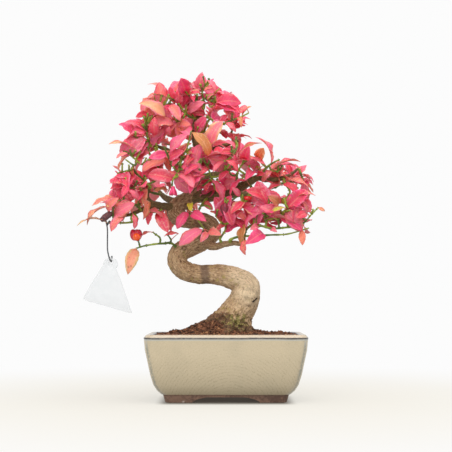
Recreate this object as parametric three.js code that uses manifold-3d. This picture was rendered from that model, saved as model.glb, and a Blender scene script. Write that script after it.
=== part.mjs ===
// A euonymus bonsai in its red autumn leaves, in a glazed tray pot, with a bare tag on a wire.
// Millimetres, +Z up, the front of the tree towards -Y. The model is laid out from the middle of
// the pot, and moved at the end so that the origin lies under the middle of the whole object.

import * as THREE from "three";
import { mergeVertices } from "three/addons/utils/BufferGeometryUtils.js";
import Module from "manifold-3d";

const wasm = await Module();
wasm.setup();

// Driving sizes.
const GAP = 0.3;
const EYE = { distance: 1200, height: 101.5, middle: 226, level: 297 };
const RIM = { length: 157.6, depth: 112, top: 65.5 };
const CORNER_RADIUS = 9;
const FLOOR_TOP = 12;
const SOIL_LEVEL = 65;
const FOOT_GAP = { front: 65, side: 36, height: 5.2 };
const DRAIN = { diameter: 14, apart: 64 };
const SCREEN = { size: 24, thickness: 1, openings: 2, bar: 1.4 };
const LEAF = { thickness: 1.2, shape: 0.45, longest: 27, stalk: 3.5, stalkRadius: 0.65 };
const TAG = { thickness: 0.8, hole: 1.7, wire: 0.6 };
const TAG_HOLE = [111.3, 262, -32];

// Half length of the pot's outside at each height, from the feet to the rim.
const POT_PROFILE = [
  [0, 58.9],
  [7.3, 60.9],
  [7.5, 62.2],
  [11.8, 66.5],
  [17.5, 69.9],
  [27.1, 72.8],
  [39.5, 75.3],
  [50.9, 77.7],
  [62.3, 78.8],
  [RIM.top, 76.4],
];

// Half length of the pot's inside at each height.
const POT_INSIDE = [
  [FLOOR_TOP, 60],
  [20, 64.5],
  [40, 69],
  [RIM.top + 2, 71.6],
];

// The trunk and the limbs that have bark, as [x, y, z, radius] along their middles.
const TRUNK = [
  [5, 0, 47, 10],
  [5, 0, 58, 16],
  [6, 0, 66, 20],
  [7, 0, 75, 18.6],
  [10, -1, 83.5, 16.6],
  [17, -2, 95.5, 15.6],
  [19.5, -3, 104.5, 15],
  [20, -3, 111.5, 13.4],
  [14.5, -3, 117, 11.6],
  [2, -2, 121.5, 10.8],
  [-14, 0, 124, 9.6],
  [-28, 3, 124.6, 9.8],
  [-41, 6, 128, 10],
  [-48.5, 8, 136.5, 9.8],
  [-47, 9, 145, 9.8],
  [-38, 8, 151.5, 9.8],
  [-24, 5, 157.5, 9.4],
  [-14.5, 2, 165, 8.5],
  [-15, 0, 173, 8],
  [-23, 0, 178, 7.8],
  [-36, 2, 178.4, 8],
  [-47, 5, 181.5, 8.4],
  [-51.5, 7, 188, 8.4],
  [-47.5, 8, 195, 8.4],
  [-39, 8, 200, 8.3],
  [-32, 7, 208.5, 7.8],
  [-29, 6, 220.5, 6.5],
  [-30, 5, 233.5, 5.5],
  [-27, 4, 246.5, 4.8],
  [-30, 3, 258.5, 4.2],
  [-33, 2, 268.5, 3.8],
  [-29, 1, 280.5, 3],
  [-23.5, 0, 289, 2.4],
];

const ROOTS = [
  [[8, -4, 92, 9], [-6, -6, 81, 7.5], [-20, -7, 74, 5], [-36, -8, 64, 3], [-44, -8, 57, 1.6]],
  [[16, -4, 88, 8], [24, -8, 76, 6], [31, -12, 66, 3.6], [38, -14, 57, 1.8]],
  [[8, -6, 84, 8], [4, -16, 74, 5.6], [0, -27, 65, 3.4], [-3, -34, 57, 1.8]],
  [[14, 2, 86, 8], [22, 14, 74, 5.4], [30, 24, 64, 3.2], [36, 30, 56, 1.6]],
  [[4, 2, 84, 8], [-6, 14, 74, 5.2], [-14, 24, 64, 3], [-20, 31, 56, 1.6]],
];

const LIMBS = [
  [[-40, 8, 200, 6], [-30, 5, 202.5, 6.2], [-21, 0, 202, 5.7], [-9, -8, 202.5, 5.2],
   [4, -14, 205.5, 4.7], [15, -18, 210.5, 4.2], [24, -20, 215.5, 3.8], [32, -22, 219, 3.2],
   [39, -22, 217, 2.6], [49, -20, 217.5, 2.2], [58, -18, 219.5, 1.9], [66, -16, 224, 1.5],
   [72, -14, 229, 1.1]],
  [[-50, 7, 189, 5], [-57, 1, 192, 3.6], [-66, -6, 192.5, 3.2], [-75, -12, 195.5, 2.8],
   [-78.5, -14, 201, 2.4], [-76, -16, 209, 1.8]],
  [[-64, -5, 192.4, 2.6], [-71, -10, 191.5, 2.4], [-79, -14, 189.5, 2.2], [-87, -18, 185.5, 1.9],
   [-98, -22, 181.5, 1.5], [-110, -24, 182.5, 1.1]],
  [[-22, 3, 158, 5], [-17, -3, 153, 4], [-10, -9, 151.5, 3.5], [-1, -14, 154, 3], [9, -18, 154.5, 2.5],
   [17, -20, 152.8, 2]],
  [[-46, 8, 195, 6], [-51, 18, 197, 4.4], [-58, 32, 201, 3.4], [-66, 48, 207, 2.5], [-71, 61, 214, 1.6]],
  [[-29, 6, 221, 5], [-25, 16, 223, 3.8], [-17, 28, 226, 3], [-5, 44, 231, 2.2], [7, 58, 236, 1.5]],
  [[-34, 7, 204, 6], [-26, 16, 204, 4.6], [-12, 27, 205, 3.6], [9, 38, 207, 2.8], [32, 46, 211, 2.1],
   [51, 50, 216, 1.4]],
  [[-28, 4, 246, 4], [-33, 13, 248.5, 2.8], [-41, 24, 252, 2.1], [-51, 37, 258, 1.3]],
  [[-32, 2, 265, 3], [-30, 10, 269, 2.2], [-26, 20, 273, 1.7], [-21, 30, 279, 1.2]],
  [[-30, 5, 224, 5], [-38, -6, 225, 3.3], [-46, -17, 227, 2.5], [-54, -29, 232, 1.6]],
  [[-28, 4, 242, 4.4], [-21, -6, 245, 3], [-11, -17, 248, 2.3], [0, -27, 251, 1.8], [12, -33, 254, 1.3]],
  [[-30, 5, 234, 4.6], [-42, -2, 241, 2.9], [-57, -10, 247, 2.2], [-71, -16, 252, 1.3]],
];

const COLOURS = {
  glaze: "#cbbd9b",
  soil: "#6b4530",
  bark: "#b8966c",
  pink: "#e2507f",
  red: "#cf3350",
  salmon: "#e0705f",
  capsule: "#a01c3c",
  aril: "#f4560f",
  pod: "#4d2730",
  tag: "#eeeeea",
  wire: "#2e2a28",
  screen: "#23282b",
};

// Leafy sprays that the front view shows. A twig's points are [column, row] in the front view's
// frame of 452 columns and rows, and the depth y. A leaf's row is the base's and the tip's column
// and row, and the width that shows.
const SPRAYS = [
  {
    name: "spray_apex",
    colour: "pink",
    twigs: [
      [[204, 105, 0], [203.5, 99, -2], [202, 91, -5], [205, 84, -7]],
      [[209, 97, -5], [216, 90.5, -9], [220, 87, -10]],
      [[196, 101, -7], [188.5, 94, -12], [184, 90, -14]],
      [[210, 106, -8], [216, 102, -13]],
    ],
    leaves: [
      [199, 91, 202, 70.5, 10], [184, 92, 180, 76, 15], [215, 91, 207.5, 78.5, 6],
      [210, 92, 225, 94, 3.5], [207, 99, 214, 92.5, 4],
      [212, 101, 236, 106, 9], [213, 103, 237, 110, 8], [188, 110, 203, 101, 10],
      [190, 93, 181, 89, 5], [190, 92, 200, 91, 5], [205, 113, 191, 112, 8],
    ],
  },
  {
    name: "spray_apex_left",
    colour: "salmon",
    twigs: [
      [[190, 116, -6], [184, 111, -10], [179, 104, -13], [173, 97, -15], [163, 92, -17], [157, 85, -18]],
      [[168, 103, -18], [160, 104, -21], [155, 100, -22]],
      [[182, 119, -13], [177, 121, -17]],
    ],
    leaves: [
      [168, 92, 147, 82.5, 3], [172, 100, 145, 98, 6], [165, 116, 139, 101, 13],
      [172, 110, 163, 105, 7], [170, 104, 180, 120, 10], [179, 124, 190, 124, 9],
      [173, 98, 169, 85, 8], [178, 104, 178, 88, 9], [150, 120, 160, 113, 3],
    ],
  },
  {
    name: "spray_apex_right",
    colour: "pink",
    twigs: [
      [[202, 131, -5], [208, 131, -8], [216, 127, -12], [226, 122, -14], [233, 119, -15],
       [241, 116, -16], [249, 112, -16]],
      [[212, 119, -14], [206, 116, -15]],
      [[214, 136, -16], [212, 144, -20]],
    ],
    leaves: [
      [247, 105, 238, 113, 6], [240, 118, 241.5, 125.5, 6], [209, 145, 222, 120, 14],
      [209, 143, 232, 148, 9], [226, 122, 236, 131, 6], [219, 126, 231, 113, 6],
    ],
  },
  {
    name: "spray_left_upper",
    colour: "pink",
    twigs: [
      [[150, 145, -19], [147, 136, -21], [146, 125, -23], [146, 119, -24]],
      [[143, 142, -23], [138, 138, -25], [133, 135, -26]],
    ],
    leaves: [
      [148, 113, 135, 116.5, 7], [145, 132, 124, 122, 8], [146, 136, 126, 136.5, 3.5],
      [140, 152, 108, 143.5, 6.5], [154, 135, 154, 116, 10], [151, 149, 163, 132, 7.5],
      [168, 134, 169, 126, 6],
    ],
  },
  {
    name: "spray_left_middle",
    colour: "salmon",
    twigs: [
      [[156, 153, -18], [150, 158, -22], [142, 164, -25], [134, 158, -28], [127, 152, -29],
       [122.5, 150.5, -30]],
      [[134, 165, -29], [125, 159, -31]],
    ],
    leaves: [
      [133, 153, 118.5, 170, 5], [151, 148, 136, 173, 8], [166, 160, 142, 171, 12],
      [159, 151, 176, 163, 8], [127, 153, 116, 158, 5],
    ],
  },
  {
    name: "spray_left",
    colour: "red",
    twigs: [
      [[150, 186, -18], [144, 181, -20], [138, 175, -22], [131, 170, -24], [117, 173, -26]],
      [[140, 187, -24], [134, 188, -26], [127, 187, -27]],
      [[156, 180, -20], [160, 177, -22], [166, 175, -24]],
      [[142, 193, -24], [139, 197, -26]],
    ],
    leaves: [
      [135, 188, 112.5, 177, 6], [126, 187, 110, 188, 7],
      [127, 186, 122, 196.5, 7], [145, 185, 128, 180, 7], [139, 200, 128, 190, 7],
      [143, 190, 138, 200, 7], [168, 190, 154, 192, 5], [170, 179, 160, 181, 6],
      [141, 195, 144.5, 219, 6.5],
    ],
  },
  {
    name: "spray_left_low",
    colour: "salmon",
    twigs: [
      [[140, 209, -19], [134, 204, -22], [127, 202, -24], [118, 200, -26]],
    ],
    leaves: [
      [120, 203, 91.5, 203.5, 9], [118, 202, 106, 207, 8], [131, 203, 118, 205, 6],
      [133, 205, 127, 209, 5],
    ],
  },
  {
    name: "spray_left_tip",
    colour: "salmon",
    twigs: [
      [[137, 220, -24], [129, 222.5, -27], [118, 223, -29], [107, 223, -30]],
      [[113, 217, -31], [108, 211, -32]],
      [[131, 217, -28], [133, 214, -29]],
    ],
    leaves: [
      [107, 207, 87, 225.5, 5.5], [105, 223, 76.5, 225.5, 3], [123, 216, 111.5, 232, 9],
      [132, 210, 121.5, 216, 4], [133, 214, 134, 229, 5],
    ],
  },
  {
    name: "spray_bottom_left",
    colour: "salmon",
    twigs: [
      [[172, 243.5, 0], [164, 243.5, -5], [156, 244, -9], [144, 246, -12], [136, 248.5, -14]],
      [[160, 238, -9], [155, 234, -11], [152.5, 232, -12]],
      [[171, 240, -5], [167, 234, -8]],
      [[139, 243, -14], [138, 240.5, -14]],
    ],
    leaves: [
      [153, 232.5, 139, 240, 3.5], [135, 249, 130, 273.5, 11.5], [179, 234, 164, 236.5, 4.5],
    ],
  },
  {
    name: "spray_trunk_left",
    colour: "red",
    twigs: [[[161, 210, -5], [156, 212, -10], [150, 212, -13], [145, 211, -15]]],
    leaves: [
      [145, 210, 163, 219, 6], [158, 212, 168, 233, 12], [152, 212, 148, 225, 6],
    ],
  },
  {
    name: "spray_trunk_front",
    colour: "pink",
    twigs: [
      [[203, 203, -13], [199, 210, -17], [198, 219, -20], [204, 229, -21]],
      [[192, 210, -18], [189, 207, -19]],
      [[208, 206, -18], [211, 209, -19]],
    ],
    leaves: [
      [188, 212, 177, 229, 10], [192, 213, 206, 221, 10], [202, 229.5, 179, 246, 13],
      [209, 231, 221, 235, 9], [207, 232, 200.5, 242, 7], [205, 202, 213, 210, 7],
      [210, 211, 221, 223, 5],
    ],
  },
  {
    name: "spray_centre_left",
    colour: "pink",
    twigs: [
      [[172, 165, -30], [169, 158, -33], [166, 151, -34]],
      [[176, 164, -34], [182, 159, -37], [188, 153, -39]],
      [[180, 166, -37], [178, 172, -38], [173, 179, -39], [172, 185, -39], [173, 190, -39]],
      [[186, 150, -40], [189, 140, -40], [191, 130, -39]],
    ],
    leaves: [
      [179, 159, 190.5, 142, 8], [181, 160, 200, 154, 4], [170, 151, 187, 135, 11],
      [209, 156, 193, 131, 14], [172, 166, 180, 158, 5],
    ],
  },
  {
    name: "spray_centre",
    colour: "pink",
    twigs: [
      [[216, 189, -17], [213, 181, -25], [210, 173, -31], [207, 165, -34]],
      [[205, 175, -34], [199, 168, -38], [196, 163, -40]],
      [[218, 176, -31], [223, 172, -33], [226, 168, -34]],
      [[206, 183, -30], [202, 186, -32]],
    ],
    leaves: [
      [207, 163, 194, 172, 6], [201, 172, 185, 183, 5], [205, 175, 190, 194, 7.5],
      [195, 160, 181, 170, 8], [198, 165, 184, 174, 7],
      [192, 157, 186, 164, 7], [212, 180, 222, 203, 9], [198, 184, 208, 191, 4],
    ],
  },
  {
    name: "spray_centre_right",
    colour: "red",
    twigs: [
      [[237, 145, -35], [235, 151, -39], [231, 157, -42], [224, 161, -44]],
      [[236, 141, -36], [236.5, 136, -36]],
    ],
    leaves: [
      [203, 158, 236, 160, 6], [222, 161, 213, 172, 6], [226, 160, 238, 171, 6],
      [235, 148, 224, 141, 5],
    ],
  },
  {
    name: "spray_right_upper",
    colour: "pink",
    twigs: [
      [[237, 181, -25], [238, 171, -29], [243, 163, -32], [247, 157, -34]],
      [[232, 175, -29], [227, 169, -31]],
      [[246, 174, -30], [253, 171, -32]],
    ],
    leaves: [
      [238, 158, 262.5, 143.5, 6], [247, 158, 249, 146, 13], [266, 165, 237, 162, 8],
      [256, 172, 246, 179, 9], [229, 171, 219, 181, 6], [227, 168, 218, 160, 6],
    ],
  },
  {
    name: "spray_right_end",
    colour: "salmon",
    twigs: [
      [[263, 172, -27], [268, 166, -29], [274, 162, -30], [280, 159, -31]],
      [[272, 170, -28], [278, 171, -28]],
      [[263, 164, -31], [258, 158, -32]],
    ],
    leaves: [
      [258, 157, 264, 147.5, 11], [272, 166, 258, 135.5, 5], [273, 170, 301, 161.5, 4],
      [273, 170, 301, 168, 5], [257, 174, 265, 174, 6], [270, 172, 262, 182, 6],
    ],
  },
  {
    name: "spray_right",
    colour: "red",
    twigs: [
      [[286, 184, -22], [290, 191, -25], [288, 198, -28], [282, 203, -30]],
      [[292, 186, -26], [299, 188, -27]],
    ],
    leaves: [
      [283, 181, 309, 186.5, 7], [283, 185, 266.5, 194.5, 5], [283, 184, 298, 194, 8],
      [292, 201, 315.5, 194.5, 7], [279, 204, 268, 196, 10], [281, 203, 291, 197, 7],
    ],
  },
  {
    name: "spray_right_inner",
    colour: "red",
    twigs: [
      [[252, 190, -27], [250, 196, -30], [246, 201, -32], [238, 203, -33]],
      [[259, 190, -29], [266, 188, -30]],
      [[240, 195, -30], [232, 200, -32], [227, 201, -34], [225, 204, -36]],
      [[246, 200, -33], [247.5, 198.5, -36]],
    ],
    leaves: [
      [264, 196, 246, 190, 13], [245, 200, 231, 214, 9], [248, 180, 229, 194, 6.5],
      [268, 188, 262, 200, 5], [240, 196, 232, 187, 6],
    ],
  },
  {
    name: "spray_right_low",
    colour: "pink",
    twigs: [
      [[244, 240, -23], [246, 230, -25], [253, 225, -27], [262, 226, -29], [272, 228.5, -31],
       [286, 227.5, -31], [298, 226, -30], [305, 222, -29], [311, 215, -28], [318.5, 207.5, -27]],
      [[267, 219, -32], [268.5, 211, -34], [269, 205, -35]],
      [[279, 219, -33], [283, 212, -34], [288, 208, -35]],
    ],
    leaves: [
      [307, 214, 301, 199.5, 6], [257, 218, 241, 205, 9], [286, 208, 270, 216, 6],
      [290, 207, 305, 209, 4], [306, 213, 296, 218, 8], [262, 221, 298, 227.5, 5.5],
      [258, 226, 250, 230, 6], [319, 208.5, 325, 211, 3.5],
      [246, 221, 232, 212, 8], [246, 228, 262, 213, 7], [246, 223, 243, 247.5, 7],
    ],
  },
  {
    name: "spray_bottom_right",
    colour: "pink",
    twigs: [
      [[230, 240, -22], [240, 236.5, -29], [255, 236, -32], [270, 235, -33], [288, 234, -33],
       [309, 228, -32]],
    ],
    leaves: [
      [301, 232, 302.5, 245.5, 7], [263, 233, 246, 244, 13], [246, 240, 245, 255, 6],
    ],
  },
  {
    name: "spray_centre_low",
    colour: "red",
    twigs: [
      [[220, 239, -15], [225, 231, -19], [226, 225, -22], [231, 218, -24]],
      [[221, 222, -24], [216, 216, -26]],
    ],
    leaves: [
      [228, 225, 216, 232, 6], [231, 218, 221, 209, 6], [232, 219, 242, 210, 6],
      [226, 234, 246, 221, 10],
    ],
  },
];

// Leafy sprays on the sides and the back: the end of each shoot, as [x, y, z].
const FAR_SPRAYS = [
  { name: "spray_back_left_low", colour: "pink", ends: [[-76, 78, 216], [-100, 62, 206]] },
  { name: "spray_back_left", colour: "red", ends: [[-92, 36, 218], [-106, 26, 202]] },
  { name: "spray_back_middle", colour: "pink", ends: [[14, 76, 244], [-14, 70, 254]] },
  { name: "spray_back_right", colour: "salmon", ends: [[74, 58, 222], [54, 72, 230]] },
  { name: "spray_back_right_low", colour: "red", ends: [[28, 62, 198], [6, 58, 214]] },
  { name: "spray_right_side", colour: "pink", ends: [[86, 8, 222], [68, 20, 238]] },
  { name: "spray_back_upper_left", colour: "salmon", ends: [[-70, 44, 264], [-46, 50, 282]] },
  { name: "spray_back_top", colour: "pink", ends: [[-12, 36, 300], [-36, 36, 292]] },
  { name: "spray_back_upper_right", colour: "red", ends: [[12, 24, 262], [10, 16, 282]] },
  { name: "spray_left_side", colour: "pink", ends: [[-112, 4, 196], [-104, 6, 218]] },
  { name: "spray_back_low", colour: "salmon", ends: [[-38, 62, 192], [-60, 54, 190]] },
  { name: "spray_left_upper_back", colour: "red", ends: [[-90, 8, 256], [-78, 22, 270]] },
];

const vector = (x, y, z) => new THREE.Vector3(x, y, z);

// A seeded draw from 0 to 1 for two whole numbers.
function draw(first, second) {
  const wave = Math.sin(first * 127.1 + second * 311.7 + 17.3) * 43758.5453;
  return wave - Math.floor(wave);
}

// The point at depth y that the front view shows at this column and row.
function seen(column, row, y) {
  const scale = (EYE.distance + y) / EYE.distance;
  return vector((column - EYE.middle) * scale, y, EYE.height + (EYE.level - row) * scale);
}

// Where the front view shows a point, as [column, row].
function shown(point) {
  const scale = EYE.distance / (EYE.distance + point.y);
  return [EYE.middle + point.x * scale, EYE.level - (point.z - EYE.height) * scale];
}

// A closed geometry as a solid.
function solid(geometry) {
  const bare = geometry.clone();
  bare.deleteAttribute("normal");
  bare.deleteAttribute("uv");
  const merged = mergeVertices(bare, 1e-4);
  return new wasm.Manifold(
    new wasm.Mesh({
      numProp: 3,
      vertProperties: merged.attributes.position.array,
      triVerts: new Uint32Array(merged.index.array),
    }),
  );
}

// A solid as a geometry again.
function geometryOf(body) {
  const mesh = body.getMesh();
  const geometry = new THREE.BufferGeometry();
  geometry.setAttribute("position", new THREE.BufferAttribute(mesh.vertProperties, mesh.numProp));
  geometry.setIndex(new THREE.BufferAttribute(mesh.triVerts, 1));
  return geometry;
}

const joined = (bodies) => wasm.Manifold.union(bodies);

// The largest loose part of a solid.
function largest(body) {
  const parts = body.decompose();
  return parts.reduce((most, part) => (part.volume() > most.volume() ? part : most));
}

// A smooth line through [x, y, z, radius] points, with rings across it at even steps.
class Stem {
  constructor(points, ringsPerSpan = 1) {
    const curve = new THREE.CatmullRomCurve3(
      points.map(([x, y, z]) => vector(x, y, z)),
      false,
      "catmullrom",
      0.5,
    );
    this.steps = (points.length - 1) * ringsPerSpan;
    let normal = vector(0.3, 1, 0.1);
    this.rings = Array.from({ length: this.steps + 1 }, (_, i) => {
      const t = i / this.steps;
      const place = t * (points.length - 1);
      const start = Math.min(Math.floor(place), points.length - 2);
      const radius = THREE.MathUtils.lerp(points[start][3], points[start + 1][3], place - start);
      const tangent = curve.getTangent(t);
      normal = normal.clone().addScaledVector(tangent, -normal.dot(tangent)).normalize();
      return { t, radius, point: curve.getPoint(t), normal, across: tangent.clone().cross(normal) };
    });
  }

  // The point at t on the straight runs between rings.
  at(t) {
    const place = t * this.steps;
    const start = Math.min(Math.floor(place), this.steps - 1);
    return this.rings[start].point.clone().lerp(this.rings[start + 1].point, place - start);
  }

  samples() {
    const count = 6 * this.steps;
    return Array.from({ length: count + 1 }, (_, i) => this.at(i / count));
  }

  // A cylinder bent along the line, with its radius changed by relief(t, angle).
  body(sides, extra = 0, relief = () => 1) {
    const geometry = new THREE.CylinderGeometry(1, 1, 1, sides, this.steps);
    const places = geometry.getAttribute("position");
    for (let i = 0; i < places.count; i++) {
      const ring = this.rings[Math.round((0.5 + places.getY(i)) * this.steps)];
      const inward = Math.hypot(places.getX(i), places.getZ(i)) < 0.5;
      const angle = Math.atan2(places.getZ(i), places.getX(i));
      const radius = inward ? 0 : ring.radius * relief(ring.t, angle) + extra;
      const point = ring.point
        .clone()
        .addScaledVector(ring.normal, radius * Math.cos(angle))
        .addScaledVector(ring.across, -radius * Math.sin(angle));
      places.setXYZ(i, point.x, point.y, point.z);
    }
    return solid(geometry);
  }
}

// Half the width of a leaf along its length, as a share of its full width.
function outline(t) {
  return 0.5 * Math.sin(Math.PI * t ** 0.85) ** 0.8;
}

// A leaf from its base to its tip, with the width that the front view shows. A width that is
// narrow for the length turns the blade on edge, and one that is broad leans the tip forward.
function shownLeaf(root, row, number, layer) {
  const [baseColumn, baseRow, tipColumn, tipRow, width] = row;
  const reach = Math.hypot(tipColumn - baseColumn, tipRow - baseRow);
  const shape = LEAF.shape + 0.06 * (draw(number, 1) - 0.5);
  const length = Math.min(Math.max(reach, width / shape), Math.max(LEAF.longest, reach));
  const lean = Math.sqrt(Math.max(length * length - reach * reach, 0));
  const baseDepth = root.y + 3 - 1.7 * layer - draw(number, 2);
  const base = seen(baseColumn, baseRow, baseDepth);
  const tip = seen(tipColumn, tipRow, baseDepth - lean - reach * (0.05 + 0.15 * draw(number, 3)));
  const fullWidth = Math.max(width, length * shape);
  const turn = Math.acos(Math.min(width / fullWidth, 1));
  return { base, tip, width: fullWidth, turn, arch: 0.13 + 0.07 * draw(number, 4), number };
}

// The axes of a leaf: along it, across its face and along its width.
function leafAxes(leaf) {
  const along = leaf.tip.clone().sub(leaf.base).normalize();
  const face = vector(0, -1, 0.15).addScaledVector(along, along.y - 0.15 * along.z).normalize();
  const turned = [leaf.turn, -leaf.turn].map((angle) => face.clone().applyAxisAngle(along, angle));
  const normal = turned[0].z > turned[1].z ? turned[0] : turned[1];
  if (leaf.normal) normal.copy(leaf.normal).addScaledVector(along, -leaf.normal.dot(along)).normalize();
  return { along, normal, side: along.clone().cross(normal) };
}

// A leaf's axes where its stalk comes in, set halfway between the stalk's heading and the leaf's.
function mitred(axes, back) {
  const along = axes.along.clone().sub(back).normalize();
  const normal = axes.normal.clone().addScaledVector(along, -axes.normal.dot(along)).normalize();
  return { along, normal, side: along.clone().cross(normal) };
}

// The point at t on a leaf's bowed midrib.
function midrib(leaf, t) {
  const rise = 4 * leaf.arch * leaf.tip.distanceTo(leaf.base) * t * (1 - t);
  return leaf.base.clone().lerp(leaf.tip, t).addScaledVector(leafAxes(leaf).normal, rise);
}

// One leaf as a closed blade with its stalk: thickest at the midrib, folded there, bowed along it
// and waved at its sharp edges. Each row across has a left edge, the two faces and a right edge.
function blade(leaf, extra = 0) {
  const axes = leafAxes(leaf);
  const length = leaf.tip.distanceTo(leaf.base);
  const stations = length > 26 && !leaf.normal ? [0.27, 0.6, 0.84] : [0.33, 0.72];
  if (leaf.root.distanceTo(leaf.base) > LEAF.stalk) stations.unshift(0.02);
  const back = leaf.root.clone().sub(midrib(leaf, stations[0])).normalize();
  const points = [leaf.root.clone().addScaledVector(back, 0.5 + extra)];
  const faces = [];
  stations.forEach((t, index) => {
    const { normal, side } = t < 0.1 ? mitred(axes, back) : axes;
    const half = Math.max(outline(t) * leaf.width, LEAF.stalkRadius) + extra;
    const wave = (sign) => 0.22 + 0.3 * (draw(leaf.number, 20 + 2 * index + sign) - 0.5);
    const thick = LEAF.thickness / 2 + extra;
    const across = [-1, 1].map((sign) =>
      midrib(leaf, t).addScaledVector(normal, half * wave(sign)).addScaledVector(side, sign * half),
    );
    const upDown = [1, -1].map((sign) => midrib(leaf, t).addScaledVector(normal, sign * thick));
    points.push(across[0], upDown[0], upDown[1], across[1]);
    const row = [1, 2, 3, 4].map((place) => place + 4 * index);
    if (index === 0) faces.push(...closing(row, 0).map((face) => face.reverse()));
    else faces.push(...band(row.map((place) => place - 4), row));
  });
  faces.push(...closing([4, 3, 2, 1].map((place) => points.length - place), points.length));
  points.push(midrib(leaf, 1 + extra / length));
  const geometry = new THREE.BufferGeometry();
  const places = points.flatMap((point) => point.toArray());
  geometry.setAttribute("position", new THREE.Float32BufferAttribute(places, 3));
  geometry.setIndex(faces.flat());
  return solid(geometry);
}

// The faces from a blade's row to the one after it, and from its last row to the tip.
const band = ([wasLeft, wasTop, wasLow, wasRight], [left, top, low, right]) => [
  [wasLeft, wasTop, left],
  [wasTop, top, left],
  [wasTop, wasRight, top],
  [wasRight, right, top],
  [wasLow, wasLeft, left],
  [low, wasLow, left],
  [wasRight, wasLow, low],
  [right, wasRight, low],
];
const closing = ([left, top, low, right], end) => [
  [end, left, top],
  [end, top, right],
  [end, low, left],
  [end, right, low],
];

// The sample nearest to a point in space, or to a place in the front view.
const nearestTo = (samples, point) =>
  samples.reduce((best, s) => (s.distanceTo(point) < best.distanceTo(point) ? s : best));

function nearestShown(samples, column, row) {
  const away = (s) => {
    const [x, y] = shown(s);
    return Math.hypot(x - column, y - row);
  };
  return samples.reduce((best, s) => (away(s) < away(best) ? s : best));
}

// A leaf that the rule sets on a shoot, towards a heading in space.
function ruledLeaf(base, heading, length, number) {
  const tip = base.clone().addScaledVector(heading, length);
  const normal = vector(draw(number, 5) - 0.5, draw(number, 6) - 0.8, 1.1);
  return {
    base,
    tip,
    width: length * (LEAF.shape + 0.04 * draw(number, 7)),
    normal,
    turn: 0,
    arch: 0.1 + 0.1 * draw(number, 4),
    number,
  };
}

// A spray that the front view shows: its twigs, each from the nearest wood, and its leaves.
function shownSpray(spray, limbs, seed) {
  const twigs = [];
  let samples = [];
  spray.twigs.forEach((points, index) => {
    const placed = points.map(([column, row, y]) => seen(column, row, y));
    const start = nearestTo(index ? samples : limbs, placed[0]);
    const thick = index ? 1 : 1.3;
    const line = [start, ...placed].map((p, i, all) => [
      ...p.toArray(),
      THREE.MathUtils.lerp(thick, 0.6, i / (all.length - 1)),
    ]);
    const twig = new Stem(line);
    twigs.push(twig);
    samples = samples.concat(twig.samples().filter((s) => s.distanceTo(start) > 4));
  });
  const leaves = spray.leaves.map((row, index) => {
    const root = nearestShown(samples, row[0], row[1]);
    const leaf = shownLeaf(root, row, seed + index, (index * 3) % 7);
    if (root.distanceTo(leaf.base) < LEAF.stalk) leaf.base = root;
    return { ...leaf, root };
  });
  return { ...spray, stems: twigs, grown: leaves };
}

// A spray by rule: shoots from the nearest wood, with leaves in pairs, each pair across the last.
function farSpray(spray, limbs, seed) {
  const stems = [];
  const leaves = [];
  let wood = limbs;
  spray.ends.forEach((end, index) => {
    const tip = vector(...end);
    const start = nearestTo(wood, tip);
    const bend = start.clone().lerp(tip, 0.5).add(vector(0, 0, 3 - 6 * draw(seed, index)));
    const line = [start, bend, tip].map((p, i) => [...p.toArray(), [index ? 1 : 1.4, 0.9, 0.6][i]]);
    const shoot = new Stem(line);
    stems.push(shoot);
    if (index === 0) wood = shoot.samples().filter((s) => s.distanceTo(start) > 8);
    const along = tip.clone().sub(start).normalize();
    const level = along.clone().cross(vector(0, 0, 1)).normalize();
    const upright = level.clone().cross(along);
    [0.62, 0.95].forEach((t, pair) => {
      [1, -1].forEach((sign, mate) => {
        const base = shoot.at(t + 0.03 * mate);
        const number = seed + 10 * index + 2 * pair + mate;
        const out = pair % 2 ? upright : level;
        const heading = along
          .clone()
          .multiplyScalar(0.55 + 0.5 * draw(number, 13))
          .addScaledVector(out, sign * (pair % 2 ? 0.8 : 1))
          .add(vector(0, 0, -0.35 * draw(number, 14)))
          .normalize();
        leaves.push({ ...ruledLeaf(base, heading, 17 + 8 * draw(number, 12), number), root: base });
      });
    });
  });
  return { ...spray, stems, grown: leaves };
}

// A spray's twigs and leaves as one solid, larger all round by extra.
function sprayBody(spray, extra = 0) {
  const twigs = spray.stems.map((stem) => stem.body(3, extra + 0.2));
  return joined([...twigs, ...spray.grown.map((leaf) => blade(leaf, extra))]);
}

// A tapered tray: rounded rectangles at each height, as [height, half length] rows.
function tray(profile, inset = 0) {
  const perCorner = 4;
  const around = 4 * perCorner;
  const levels = [...profile].reverse();
  const geometry = new THREE.CylinderGeometry(1, 1, 1, around, levels.length - 1);
  geometry.rotateX(Math.PI / 2);
  const places = geometry.getAttribute("position");
  const depthLess = (RIM.length - RIM.depth) / 2;
  for (let i = 0; i < places.count; i++) {
    const level = Math.round((0.5 - places.getZ(i)) * (levels.length - 1));
    const [height, halfLength] = levels[level];
    const across = Math.hypot(places.getX(i), places.getY(i)) > 0.5;
    const turn = Math.atan2(places.getX(i), -places.getY(i));
    const index = (Math.round((turn / (2 * Math.PI)) * around) + around) % around;
    const corner = Math.floor(index / perCorner);
    const angle = ((corner - 1 + (index % perCorner) / (perCorner - 1)) * Math.PI) / 2;
    const radius = CORNER_RADIUS * (halfLength / (RIM.length / 2)) - inset;
    const [signX, signY] = [[1, -1], [1, 1], [-1, 1], [-1, -1]][corner];
    const x = signX * (halfLength - inset - radius) + radius * Math.cos(angle);
    const y = signY * (halfLength - depthLess - inset - radius) + radius * Math.sin(angle);
    places.setXYZ(i, across ? x : 0, across ? y : 0, height);
  }
  return solid(geometry);
}

// A block with its lowest and highest corners given.
function block(low, high) {
  const size = high.map((value, axis) => value - low[axis]);
  const middle = high.map((value, axis) => (value + low[axis]) / 2);
  return solid(new THREE.BoxGeometry(...size).translate(...middle));
}

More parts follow.
